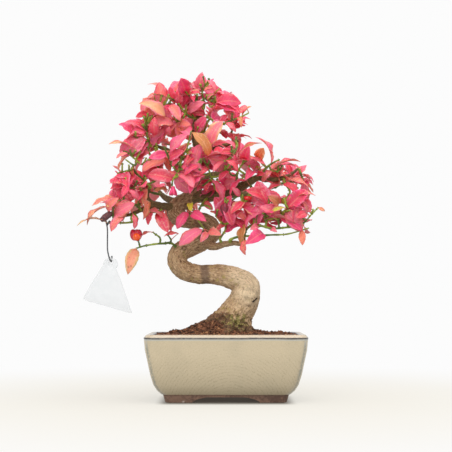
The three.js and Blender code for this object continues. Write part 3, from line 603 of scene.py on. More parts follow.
@dataclass(frozen=True)
class BarkFinish:
    """Pale tan bark with fine streaks along it, young parts, darker bark up the trunk, a scar,
    cracks and moss, with a painted highlight on the right bend and painted shade in its creases, in
    a dent and under a spray.
    """

    tan: Colour = (194, 160, 120)
    # sunlit: the colour of a painted highlight, which the light mark lays on the upper side of the
    # right bend.
    sunlit: Colour = (232, 207, 170)
    brown: Colour = (148, 112, 78)
    furrow: Colour = (98, 68, 44)
    fleck: Colour = (88, 62, 42)
    golden: Colour = (186, 138, 82)
    # aged: the darker tone that the dim mark lays higher up the trunk and on its left bend.
    aged: Colour = (138, 100, 68)
    crest: Colour = (236, 212, 176)
    scar: Colour = (112, 90, 76)
    pit: Colour = (86, 60, 40)
    dim_furrow: Colour = (60, 44, 30)
    dim_crest: Colour = (188, 152, 112)
    young: Pair = ((84, 76, 44), (128, 112, 66))
    lichen: Colour = (176, 160, 84)
    earth: Pair = ((70, 48, 34), (142, 98, 70))
    moss: Pair = ((88, 92, 42), (190, 178, 104))
    # crack paints the dark mark: real cracks and a knot's ring, with painted shade in the bend's
    # creases, in a dent and under a spray.
    crack: Colour = (34, 24, 18)

    def make(self) -> bpy.types.Material:
        """The material, which reads the streak direction and the marks that the mesh carries."""
        shader = Shader("bark")
        place = shader.object_place()
        # light is a painted highlight on the right bend, where light falls.
        light, dim_bark, soiled = (shader.mark(name) for name in ("light", "dim", "earth"))
        streaks = shader.noise(shader.attribute("grain").outputs["Vector"], 9.0, 5.0, 0.65)
        broad = shader.noise(place, 55.0, 3.0)
        fine = shader.noise(place, 760.0, 4.0, 0.7)
        flecks = shader.noise(place, 420.0, 4.0, 0.75)
        clumps = shader.noise(place, 330.0, 4.0, 0.7)
        scar = (shader.mark("scar") + (broad - 0.5) * 0.9 + (fine - 0.5) * 0.9).step(0.15, 0.95)
        limb = (shader.mark("limb") + (broad - 0.5) * 0.6).step(0.3, 0.8)
        lichen = shader.noise(place, 240.0, 3.0).step(0.56, 0.64) * broad.step(0.4, 0.6)
        earth = (soiled + (clumps - 0.5) * 1.6).step(0.4, 0.62)
        moss = (shader.mark("moss") + (clumps - 0.5) * 2.2).step(0.55, 0.8)
        young = shader.mix(*self.young, (streaks + fine - 1.0).step(-0.15, 0.2))
        soil = shader.mix(*self.earth, (fine + clumps - 1.0).step(-0.12, 0.2))
        green = shader.mix(*self.moss, fine.step(0.4, 0.64))
        colour = shader.layers(
            # Paler where the light mark paints a highlight; the furrows and flecks are weaker there
            # too.
            shader.mix(self.tan, self.sunlit, light),
            (self.brown, (broad + (streaks - 0.5) * 0.8).step(0.45, 0.75) * 0.6),
            (self.furrow, streaks.step(0.5, 0.34) * (0.85 - light * 0.25)),
            (self.fleck, flecks.step(0.45, 0.34) * (0.65 - light * 0.25)),
            (self.golden, flecks.step(0.52, 0.62) * (0.4 - light * 0.3)),
            # Darker, more strongly marked bark where the dim mark lies.
            (self.aged, dim_bark * 0.6),
            (self.crest, (streaks + flecks - 0.5).step(0.54, 0.7) * 0.6),
            (self.scar, scar * 0.75),
            (self.pit, fine.step(0.45, 0.28) * 0.7),
            (self.dim_furrow, streaks.step(0.5, 0.38) * dim_bark * 0.7),
            (self.dim_crest, streaks.step(0.54, 0.62) * dim_bark * 0.45),
            (young, limb * 0.85),
            (self.lichen, lichen * 0.5),
            (soil, earth * 0.9),
            (green, moss * 0.75),
            # The dark mark: cracks and a knot's ring, and painted shade in creases, in a dent and
            # in a spray's shadow.
            (self.crack, shader.mark("dark")),
        )
        height = streaks * 0.9 + fine * 0.7 + broad * 0.3 + clumps * soiled
        return shader.finish(
            Base_Color=colour,
            Roughness=0.62 + fine * 0.25,
            Specular_IOR_Level=0.3,
            Normal=shader.bump(height, 0.9, 1.0),
        )


@dataclass(frozen=True)
class GlazeFinish:
    """Cream crackle glaze with a dark line round the rim, above bare red-brown clay, with painted
    shade that darkens the cream towards the feet.

    Heights are in millimetres above the feet, and breadths from the pot's middle.
    """

    middle: tuple[float, float, float]
    glaze_from: float = 7.6
    line_at: float = 62.3
    narrower: float = 22.8
    lip_from: tuple[float, float] = (71.0, 48.2)
    cream_to_painted_shade: Pair = ((210, 193, 160), (190, 174, 142))
    cloud: Colour = (178, 166, 138)
    thin_edge: Colour = (96, 116, 118)
    thick_edge: Colour = (216, 214, 206)
    crazing: Colour = (150, 134, 104)
    speck: Colour = (70, 48, 36)
    rim: Colour = (188, 170, 144)
    halo: Colour = (184, 190, 186)
    line: Colour = (58, 50, 50)
    lip: Colour = (96, 100, 110)
    clay: Pair = ((128, 98, 80), (92, 68, 56))
    lime: Colour = (196, 180, 168)

    def make(self) -> bpy.types.Material:
        """The material, by height above the feet and by distance from the corners."""
        shader = Shader("glaze_and_clay")
        place = shader.object_place(self.middle)
        x, y, z = (value * 1000.0 for value in shader.split(place))
        broad = shader.noise(place, 28.0, 3.0)
        fine = shader.noise(place, 420.0, 4.0)
        wavy = z + (broad - 0.5) * 0.9
        # The wall's half length at each height, which falls away in a curve near the feet.
        half = z * 0.171 + 68.2 - ((7.5 - z) / 6.2).exponent() * 7.3
        past_wall = (abs(x) - half).at_least(abs(y) - half + self.narrower)
        to_corner = (half - abs(x)).at_least(half - self.narrower - abs(y))
        corner = (to_corner + (broad - 0.5) * 5.0).step(4.8, 0.8)
        crackle = self.arcs(shader) * fine.step(0.4, 0.6)
        hair = shader.cells(place, 560.0, "DISTANCE_TO_EDGE").step(0.05, 0.0)
        pits = shader.cells(place, 95.0).step(0.06, 0.03)
        pits = pits * shader.noise(place, 60.0, 1.0).step(0.62, 0.66)
        low, high = self.line_at - 0.5, self.line_at + 0.5
        halo = wavy.step(low - 2.1, low - 1.2) * wavy.step(low, low - 0.5)
        line = wavy.step(low - 0.8, low) * wavy.step(high + 0.6, high)
        lip = (abs(x) - self.lip_from[0]).at_least(abs(y) - self.lip_from[1]).step(2.6, 0.8)
        glaze = shader.layers(
            # The cream darkens towards the feet: painted shade where the wall curves under.
            shader.mix(*self.cream_to_painted_shade, z.step(50.0, 6.0)),
            (self.cloud, (broad - 0.5).step(0.0, 0.3) * 0.35),
            (self.thin_edge, corner * fine.step(0.3, 0.52) * 0.85),
            (self.thick_edge, corner * z.step(52.0, 59.0) * 0.7),
            (self.crazing, crackle * z.step(64.0, 16.0) * 0.46 + hair * 0.26),
            (self.speck, pits),
            (self.rim, wavy.step(high + 0.2, high + 0.8)),
            (self.halo, halo * 0.7),
            (self.line, line * (fine * 0.6 + 0.65)),
            (self.lip, lip * z.step(40.0, 50.0) * 0.85),
        )
        clay = shader.mix(*self.clay, (fine + broad - 1.0).step(-0.2, 0.25))
        lime = shader.noise(place, 130.0, 3.0).step(0.56, 0.7) * z.step(4.0, 0.6)
        outside = 1.0 - past_wall.step(-2.0, -3.0) * z.step(58.0, 56.0)
        glazed = wavy.step(self.glaze_from - 0.3, self.glaze_from + 0.3) * outside
        height = fine * (1.0 - glazed) + (crackle * -0.2 + broad * 0.2) * glazed
        return shader.finish(
            Base_Color=shader.layers(clay, (self.lime, lime * 0.8), (glaze, glazed)),
            Roughness=0.82 - glazed * 0.56 + (fine - 0.5) * 0.1,
            Coat_Weight=glazed * 0.5,
            Coat_Roughness=0.12,
            Normal=shader.bump(height, 0.35, 0.6),
        )

    def arcs(self, shader: Shader) -> Value:
        """Thin crackle lines in rings round a point low on the front."""
        x, y, z = self.middle
        place = shader.object_place((x + 0.004, y, z - 0.012))
        size = {"Scale": 105.0, "Distortion": 4.0, "Detail": 3.0, "Detail Scale": 4.0}
        rings = {"wave_type": "RINGS", "rings_direction": "Y"}
        waves = shader.node("ShaderNodeTexWave", rings, {"Vector": place, **size})
        return Value(shader, waves.outputs["Fac"]).step(0.25, 0.0)


@dataclass(frozen=True)
class SoilFinish:
    """Fired clay grains, each in its own brown, red or ochre."""

    brown: Pair = ((84, 54, 38), (138, 92, 66))
    ochre: Colour = (184, 134, 92)
    dark: Colour = (60, 42, 32)
    pit: Colour = (60, 36, 26)

    def make(self) -> bpy.types.Material:
        """The material, which reads each grain's own tone."""
        shader = Shader("soil")
        fine = shader.noise(shader.object_place(), 700.0, 4.0)
        tone = shader.mark("tone")
        colour = shader.layers(
            shader.mix(*self.brown, tone.step(0.2, 0.8)),
            (self.ochre, tone.step(0.88, 0.97) * 0.8),
            (self.dark, tone.step(0.22, 0.1)),
            (self.pit, fine.step(0.55, 0.35) * 0.6),
        )
        return shader.finish(
            Base_Color=colour,
            Roughness=0.8 + fine * 0.15,
            Specular_IOR_Level=0.25,
            Normal=shader.bump(fine, 0.3, 0.8),
        )


class FruitSkin(Enum):
    """The skins of the capsules, the seed coats and the dry pod: two colours and a roughness."""

    CRIMSON = ((222, 34, 66), (176, 22, 50), 0.42)
    ROSE = ((240, 60, 120), (214, 34, 92), 0.42)
    MAROON = ((150, 34, 58), (98, 22, 40), 0.5)
    ORANGE = ((255, 104, 20), (250, 66, 14), 0.2)
    SCARLET = ((238, 34, 34), (200, 14, 24), 0.2)
    DRY = ((112, 66, 66), (70, 40, 44), 0.75)

    def make(self) -> bpy.types.Material:
        """The material: two colours in fine patches, with a little bump."""
        light, deep, rough = self.value
        shader = Shader(f"fruit_{self.name.lower()}")
        place = shader.object_place()
        patches = shader.noise(place, 260.0, 4.0)
        fine = shader.noise(place, 1200.0, 2.0)
        return shader.finish(
            Base_Color=shader.mix(light, deep, patches.step(0.38, 0.66)),
            Roughness=rough + (fine - 0.5) * 0.12,
            Coat_Weight=0.25,
            Coat_Roughness=0.2,
            Subsurface_Weight=0.1,
            Subsurface_Scale=0.002,
            Normal=shader.bump(patches + fine * 0.3, 0.25, 0.5),
        )


class PlainFinish(Enum):
    """Finishes of the small made pieces: two colours, a roughness, a grain and an alpha."""

    WIRE = ((52, 54, 56), (92, 94, 96), 0.4, 900.0, 1.0)
    SCREEN = ((30, 34, 36), (46, 50, 52), 0.6, 700.0, 1.0)
    TAG = ((236, 238, 239), (232, 235, 236), 0.34, 120.0, 0.4)

    def make(self) -> bpy.types.Material:
        """The material: two near colours in fine noise, with a slight bump."""
        light, deep, rough, scale, alpha = self.value
        shader = Shader(self.name.lower())
        fine = shader.noise(shader.object_place(), scale, 3.0)
        return shader.finish(
            Base_Color=shader.mix(light, deep, fine.step(0.4, 0.62)),
            Roughness=rough + (fine - 0.5) * 0.15,
            Alpha=alpha,
            Normal=shader.bump(fine, 0.06, 0.4),
        )


# ----- the piece maker


def placed(name: str, data: Any) -> bpy.types.Object:
    """A new object in the scene that shows this data."""
    obj = bpy.data.objects.new(name, data)
    bpy.context.scene.collection.objects.link(obj)
    return obj


def carry(mesh: bpy.types.Mesh, marks: dict[str, Array]) -> None:
    """Sets marks as point attributes: single numbers, rows of three or colours of four."""
    kinds = {1: ("FLOAT", "value"), 3: ("FLOAT_VECTOR", "vector"), 4: ("FLOAT_COLOR", "color")}
    for name, values in marks.items():
        kind, key = kinds[values.size // len(values)]
        attribute = mesh.attributes.new(name, kind, "POINT")
        attribute.data.foreach_set(key, values.astype(np.float32).ravel())


def applied(mesh: bpy.types.Mesh, add: Callable[[bpy.types.Object], None]) -> bpy.types.Mesh:
    """A mesh with modifiers put on it and applied.

    Args:
        mesh: The mesh to start from.
        add: Puts the modifiers on the object that it is given.

    Returns:
        The new mesh.
    """
    obj = placed("shaping", mesh)
    add(obj)
    bpy.context.view_layer.update()
    graph = bpy.context.evaluated_depsgraph_get()
    result = bpy.data.meshes.new_from_object(obj.evaluated_get(graph))
    bpy.data.objects.remove(obj)
    return result


@dataclass
class Maker:
    """Turns patches into pieces in the frame of the CAD model."""

    shift: Array
    count: int = 0

    def mesh(self, name: str, patch: Patch) -> bpy.types.Mesh:
        """A mesh in metres with the patch's marks as attributes."""
        mesh = bpy.data.meshes.new(name)
        corners = np.concatenate([patch.quads.ravel(), patch.tris.ravel()]).astype(np.int32)
        quads, tris = np.arange(len(patch.quads)) * 4, np.arange(len(patch.tris)) * 3
        starts = np.concatenate([quads, patch.quads.size + tris]).astype(np.int32)
        points = (patch.points + self.shift) * 0.001
        mesh.vertices.add(len(points))
        mesh.vertices.foreach_set("co", points.astype(np.float32).ravel())
        mesh.loops.add(len(corners))
        mesh.loops.foreach_set("vertex_index", corners)
        mesh.polygons.add(len(starts))
        mesh.polygons.foreach_set("loop_start", starts)
        mesh.update(calc_edges=True)
        mesh.validate()
        carry(mesh, patch.marks)
        return mesh

    def piece(
        self,
        name: str,
        form: Union[Patch, bpy.types.Mesh],
        material: bpy.types.Material,
        nodes: Sequence[str],
        smooth: bool = True,
    ) -> bpy.types.Object:
        """A finished piece that rides on the tree and stands for CAD nodes.

        Args:
            name: The piece's name.
            form: Its surface, as a patch or as a mesh that is ready.
            material: Its finish.
            nodes: The CAD nodes that it replaces.
            smooth: Whether light runs on smoothly over its edges.

        Returns:
            The object.
        """
        mesh = self.mesh(name, form) if isinstance(form, Patch) else form
        mesh.materials.clear()
        mesh.materials.append(material)
        mesh.polygons.foreach_set("use_smooth", np.full(len(mesh.polygons), smooth))
        obj = placed(name, mesh)
        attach(obj, "root")
        if nodes:
            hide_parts(*nodes)
        self.count += 1
        LOG.info("%s: %d faces", name, len(mesh.polygons))
        return obj


# ----- the pot, the screens and the soil


def bar(section: Array, reach: float, turned: bool) -> Patch:
    """A straight bar with a section of (across, up) points, along Y, or along X when turned."""
    along = np.broadcast_to(np.array([reach, -reach])[:, None], (2, len(section)))
    across, up = (np.broadcast_to(side, along.shape) for side in section.T)
    return loft(np.stack((along[::-1], across, up) if turned else (across, along, up), axis=-1))


@dataclass
class Pot:
    """The glazed tray pot: a tapered wall on four clay feet, with two drain holes."""

    length: float = 157.6
    depth: float = 112.0
    corner: float = 9.0
    floor: float = 12.0
    soil_gap: float = 0.3
    arch_front: float = 65.0
    arch_side: float = 36.0
    drain_radius: float = 7.0
    drain_apart: float = 64.0
    sharp_from: float = 38.0
    outside: tuple = (
        (0, 58.6), (0.3, 58.9), (3.5, 59.8), (7.2, 60.8), (7.5, 61.2), (7.7, 62.0), (8.3, 62.9),
        (11.8, 66.5), (17.5, 69.9), (27.1, 72.8), (39.5, 75.3), (50.9, 77.7), (60.9, 78.6),
        (61.8, 78.8), (62.5, 78.8), (63.1, 78.4), (64.9, 76.9), (65.4, 76.3), (65.5, 75.6),
    )
    inside: tuple = (
        (65.5, 73.0), (65.3, 72.2), (64.8, 71.7), (64.0, 71.35), (40, 69), (20, 64.5), (13, 60.6),
        (12, 59),
    )
    arch: tuple = ((0, 0.2), (1.2, 1.4), (3.4, 2.6), (6.6, 3.7), (10.5, 4.6), (14, 5.2))

    def rings(self, profile: Sequence[Sequence[float]], inset: float = 0.0) -> Array:
        """Rounded rectangles, one for each [height, half length] of a profile.

        Each corner is an arc of ten steps and each side a straight run of sixteen.

        Args:
            profile: Heights and half lengths.
            inset: How far the rings lie inside the profile.

        Returns:
            Points by ring and by place round it.
        """
        steps, run = 10, 16
        rows = np.asarray(profile, float)
        height, half = rows[:, :1], rows[:, 1:]
        radius = self.corner * half / (self.length / 2) - inset
        sign = np.array([(1, -1), (1, 1), (-1, 1), (-1, -1)])
        arc = np.linspace(0.0, 0.5 * math.pi, steps + 1)
        angle = (np.arange(4)[:, None] - 1) * 0.5 * math.pi + arc[None, :]
        along = half[..., None] - inset - radius[..., None]
        deep = along - (self.length - self.depth) / 2
        x = sign[:, 0, None] * along + radius[..., None] * np.cos(angle)
        y = sign[:, 1, None] * deep + radius[..., None] * np.sin(angle)
        corners = np.stack([x, y], axis=-1)
        towards = np.roll(corners[:, :, 0], -1, axis=1)
        share = np.arange(1, run)[:, None] / run
        side = corners[:, :, None, -1] * (1 - share) + towards[:, :, None] * share
        flat = np.concatenate([corners, side], axis=2).reshape(len(rows), -1, 2)
        up = np.broadcast_to(height[..., None], (*flat.shape[:2], 1))
        return np.concatenate([flat, up], axis=-1)

    def wall(self) -> Patch:
        """The pot before its arches and drains are cut, as one closed skin."""
        shares = np.array([0.5, 0.8, 0.95])
        under = [(0, self.outside[0][1] * share) for share in shares]
        middle = [(self.floor, self.inside[-1][1] * share) for share in shares[::-1]]
        return loft(self.rings([*under, *self.outside, *self.inside, *middle]))

    def cutters(self) -> list[Patch]:
        """The two arches, as bars with round upper edges, and the drain holes."""
        patches = []
        for width, turned in ((self.arch_front, False), (self.arch_side, True)):
            right = np.array(self.arch) * (-1, 1) + (width / 2, 0)
            foot = [(-width / 2, -1), (width / 2, -1)]
            section = np.concatenate([foot, right, right[::-1] * (-1, 1)])
            patches.append(bar(section, 100.0, turned))
        angle = np.linspace(0.0, 2.0 * math.pi, 32, endpoint=False)
        ring = self.drain_radius * np.stack([np.cos(angle), np.sin(angle), 0 * angle], axis=-1)
        for x in (-self.drain_apart / 2, self.drain_apart / 2):
            patches.append(loft(np.stack([ring + (x, 0, -1), ring + (x, 0, self.floor + 3)])))
        return patches

    def build(self, maker: Maker) -> bpy.types.Mesh:
        """The pot with its arches and drains cut by Boolean modifiers."""
        patches = enumerate(self.cutters())
        cutters = [placed(f"cut_{number}", maker.mesh("cut", patch)) for number, patch in patches]

        def add(obj: bpy.types.Object) -> None:
            """Takes each cutter out of the pot."""
            for cutter in cutters:
                modifier = obj.modifiers.new("cut", "BOOLEAN")
                modifier.operation = "DIFFERENCE"
                modifier.solver = "EXACT"
                modifier.object = cutter

        mesh = applied(maker.mesh("pot", self.wall()), add)
        for cutter in cutters:
            bpy.data.objects.remove(cutter)
        return mesh

    def dress(self, maker: Maker) -> None:
        """Makes the pot piece in its glaze."""
        finish = GlazeFinish(tuple(maker.shift * 0.001)).make()
        obj = maker.piece("pot_glazed", self.build(maker), finish, ["pot"])
        bpy.context.view_layer.update()
        obj.data.set_sharp_from_angle(angle=math.radians(self.sharp_from))


@dataclass
class Screen:
    """A square plastic mesh over a drain hole."""

    side: str
    x: float
    half: float = 12.0
    low: float = 12.3
    thick: float = 1.0
    bars: int = 6
    bar_half: float = 0.45
    outermost: float = 0.965

    def dress(self, maker: Maker, finish: bpy.types.Material) -> None:
        """Makes the screen from flat bars that cross, those along X a little higher."""
        places = np.linspace(-self.half, self.half, self.bars) * self.outermost
        low, high = 0.05, self.thick - 0.1
        sides = ((-1, low), (1, low), (1, high), (-1, high))
        section = np.array(sides) * (self.bar_half, 1)
        patches = []
        for place in places:
            for turned in (False, True):
                patch = bar(section + (place, self.low + 0.05 * turned), self.half, turned)
                patch.points += (self.x, 0, 0)
                patches.append(patch)
        node, patch = f"screen_{self.side}", Patch.join(patches)
        maker.piece(f"drain_{node}", patch, finish, [node], smooth=False)


@dataclass
class Soil:
    """The grains that fill the pot, with a low mound up the roots."""

    pot: Pot
    level: float = 64.4
    grains: int = 3600
    mound_grains: int = 1300
    wall: tuple = (
        (12.3, 30), (12.3, 55), (12.3, 59.6), (20, 64.5), (40, 69), (60, 71), (63, 71.2),
    )
    bells: tuple = (
        (-12, -9, 12, 12), (-32, -8, 9, 6), (20, 4, 16, 4), (0, 20, 16, 6),
        (-50, -18, 4.5, 5), (-42, 8, 5, 4), (43, -16, 4, 3.4), (55, 2, 5, 3),
    )

    def height(self, x: Array, y: Array) -> Array:
        """The soil's height: the level, a fall to the sides, and bells for mound and clumps.

        Each bell is its middle's x and y, its width and its height.
        """
        flat = np.stack([x, y], axis=-1)
        rise = sum(high * hill(flat, (cx, cy), wide) for cx, cy, wide, high in self.bells)
        return self.level + rise - 1.6 * (x / 75.0) ** 2

    def body(self) -> Patch:
        """The filled pot's inside: walls, and a top of shrinking rounded rectangles."""
        walls = self.pot.rings(self.wall, self.pot.soil_gap)
        shares = np.linspace(1.0, 0.03, 34)[:, None, None]
        shrink = np.concatenate([shares, shares, np.ones_like(shares)], axis=2)
        top = walls[-1][None] * shrink
        lumps = 0.5 * ripple(top * (1, 1, 0), 5.0, 3)
        top[..., 2] = np.minimum(self.height(top[..., 0], top[..., 1]) + lumps - 0.6, 90.0)
        return loft(np.concatenate([walls, top])).mark(tone=0.35)

    def scatter(self, wood: Array) -> Patch:
        """Grains over the top: eight-cornered lumps, each turned, stretched and toned by a draw.

        Args:
            wood: Points and radii along the trunk and roots, which grains keep out of.

        Returns:
            All the grains as one patch.
        """
        rng = np.random.default_rng(11)
        half = (70.4, 47.6)
        places = rng.uniform(-1, 1, (self.grains, 2)) * half
        near = rng.normal(size=(self.mound_grains, 2)) * (19, 10) + (-13, -12)
        places = np.concatenate([places, near[(np.abs(near) < half).all(axis=1)]])
        heights = self.height(places[:, 0], places[:, 1])
        size = rng.gamma(5.0, 0.2, len(places)) + 0.55
        middles = np.column_stack([places, heights + rng.uniform(-0.7, 0.5, len(places))])
        gap = np.linalg.norm(middles[:, None] - wood[None, :, :3], axis=2) - wood[None, :, 3]
        keep = gap.min(axis=1) > -0.6
        middles, size = middles[keep], size[keep]
        count = len(middles)
        corners = unit(rng.normal(size=(count, 8, 3)) * 0.33 + CUBE[None])
        corners *= rng.uniform(0.72, 1.12, (count, 8, 1)) * rng.uniform(0.75, 1.2, (count, 1, 3))
        turns = np.linalg.qr(rng.normal(size=(count, 3, 3)))[0]
        turns *= np.linalg.det(turns)[:, None, None]
        points = np.einsum("nij,nkj->nki", turns, corners) * size[:, None, None]
        points += middles[:, None]
        quads = CUBE_FACES[None] + 8 * np.arange(count)[:, None, None]
        tone = np.repeat(rng.uniform(0, 1, count), 8)
        return Patch(points.reshape(-1, 3), quads.reshape(-1, 4), NO_TRIS, {"tone": tone})

    def dress(self, maker: Maker, wood: Array) -> None:
        """Makes the soil's body and its grains."""
        finish = SoilFinish().make()
        maker.piece("soil_body", self.body(), finish, ["soil"])
        maker.piece("soil_grains", self.scatter(wood), finish, [], smooth=False)


SQUARE = ((-1, -1), (1, -1), (1, 1), (-1, 1))
CUBE = np.array([(x, y, z) for z in (-1, 1) for x, y in SQUARE], float)
CUBE_FACES = np.array(
    [(3, 2, 1, 0), (4, 5, 6, 7), (0, 1, 5, 4), (1, 2, 6, 5), (2, 3, 7, 6), (3, 0, 4, 7)]
)


# ----- the trunk, its roots and its limbs

TRUNK = (
    (5, 0, 47, 10), (5, 0, 58, 16), (6, 0, 66, 20), (7, 0, 75, 18.6), (10, -1, 83.5, 16.6),
    (17, -2, 95.5, 15.6),
    (19.5, -3, 104.5, 15), (20, -3, 111.5, 13.4), (14.5, -3, 117, 11.6), (2, -2, 121.5, 10.8),
    (-14, 0, 124, 9.6),
    (-28, 3, 124.6, 9.8), (-41, 6, 128, 10), (-48.5, 8, 136.5, 9.8), (-47, 9, 145, 9.8),
    (-38, 8, 151.5, 9.8),
    (-24, 5, 157.5, 9.4), (-14.5, 2, 165, 8.5), (-15, 0, 173, 8), (-23, 0, 178, 7.8),
    (-36, 2, 178.4, 8),
    (-47, 5, 181.5, 8.4), (-51.5, 7, 188, 8.4), (-47.5, 8, 195, 8.4), (-39, 8, 200, 8.3),
    (-32, 7, 208.5, 7.8),
    (-29, 6, 220.5, 6.5), (-30, 5, 233.5, 5.5), (-27, 4, 246.5, 4.8), (-30, 3, 258.5, 4.2),
    (-33, 2, 268.5, 3.8),
    (-29, 1, 280.5, 3), (-23.5, 0, 289, 2.4),
)

ROOTS = (
    ((8, -4, 92, 9), (-6, -6, 81, 7.5), (-20, -7, 74, 5), (-36, -8, 64, 3), (-44, -8, 57, 1.6)),
    ((16, -4, 88, 7), (19, -8, 76, 5.5), (22, -12, 66, 3.6), (25, -14, 57, 1.8)),
    ((8, -6, 84, 8), (4, -16, 74, 5.6), (0, -27, 65, 3.4), (-3, -34, 57, 1.8)),
    ((14, 2, 86, 7), (18, 14, 74, 5.4), (22, 24, 64, 3.2), (26, 30, 56, 1.6)),
    ((4, 2, 84, 8), (-6, 14, 74, 5.2), (-14, 24, 64, 3), (-20, 31, 56, 1.6)),
)

LIMBS = (
    ((-40, 8, 200, 6), (-30, 5, 202.5, 6.2), (-21, 0, 202, 5.7), (-9, -8, 202.5, 5.2),
     (4, -14, 205.5, 4.7),
     (15, -18, 210.5, 4.2), (24, -20, 215.5, 3.8), (32, -22, 219, 3.2), (39, -22, 217, 2.6),
     (49, -20, 217.5, 2.2),
     (58, -18, 219.5, 1.9), (66, -16, 224, 1.5), (72, -14, 229, 1.1)),
    ((-50, 7, 189, 5), (-57, 1, 192, 3.6), (-66, -6, 192.5, 3.2), (-75, -12, 195.5, 2.8),
     (-78.5, -14, 201, 2.4),
     (-76, -16, 209, 1.8)),
    ((-64, -5, 192.4, 2.6), (-71, -10, 191.5, 2.4), (-79, -14, 189.5, 2.2), (-87, -18, 185.5, 1.9),
     (-98, -22, 181.5, 1.5), (-110, -24, 182.5, 1.1)),
    ((-22, 3, 158, 5), (-17, -3, 153, 4), (-10, -9, 151.5, 3.5), (-1, -14, 154, 3),
     (9, -18, 154.5, 2.5),
     (17, -20, 152.8, 2)),
    ((-46, 8, 195, 6), (-51, 18, 197, 4.4), (-58, 32, 201, 3.4), (-66, 48, 207, 2.5),
     (-71, 61, 214, 1.6)),
    ((-29, 6, 221, 5), (-25, 16, 223, 3.8), (-17, 28, 226, 3), (-5, 44, 231, 2.2),
     (7, 58, 236, 1.5)),
    ((-34, 7, 204, 6), (-26, 16, 204, 4.6), (-12, 27, 205, 3.6), (9, 38, 207, 2.8),
     (32, 46, 211, 2.1),
     (51, 50, 216, 1.4)),
    ((-28, 4, 246, 4), (-33, 13, 248.5, 2.8), (-41, 24, 252, 2.1), (-51, 37, 258, 1.3)),
    ((-32, 2, 265, 3), (-30, 10, 269, 2.2), (-26, 20, 273, 1.7), (-21, 30, 279, 1.2)),
    ((-30, 5, 224, 5), (-38, -6, 225, 3.3), (-46, -17, 227, 2.5), (-54, -29, 232, 1.6)),
    ((-28, 4, 242, 4.4), (-21, -6, 245, 3), (-11, -17, 248, 2.3), (0, -27, 251, 1.8),
     (12, -33, 254, 1.3)),
    ((-30, 5, 234, 4.6), (-42, -2, 241, 2.9), (-57, -10, 247, 2.2), (-71, -16, 252, 1.3)),
)


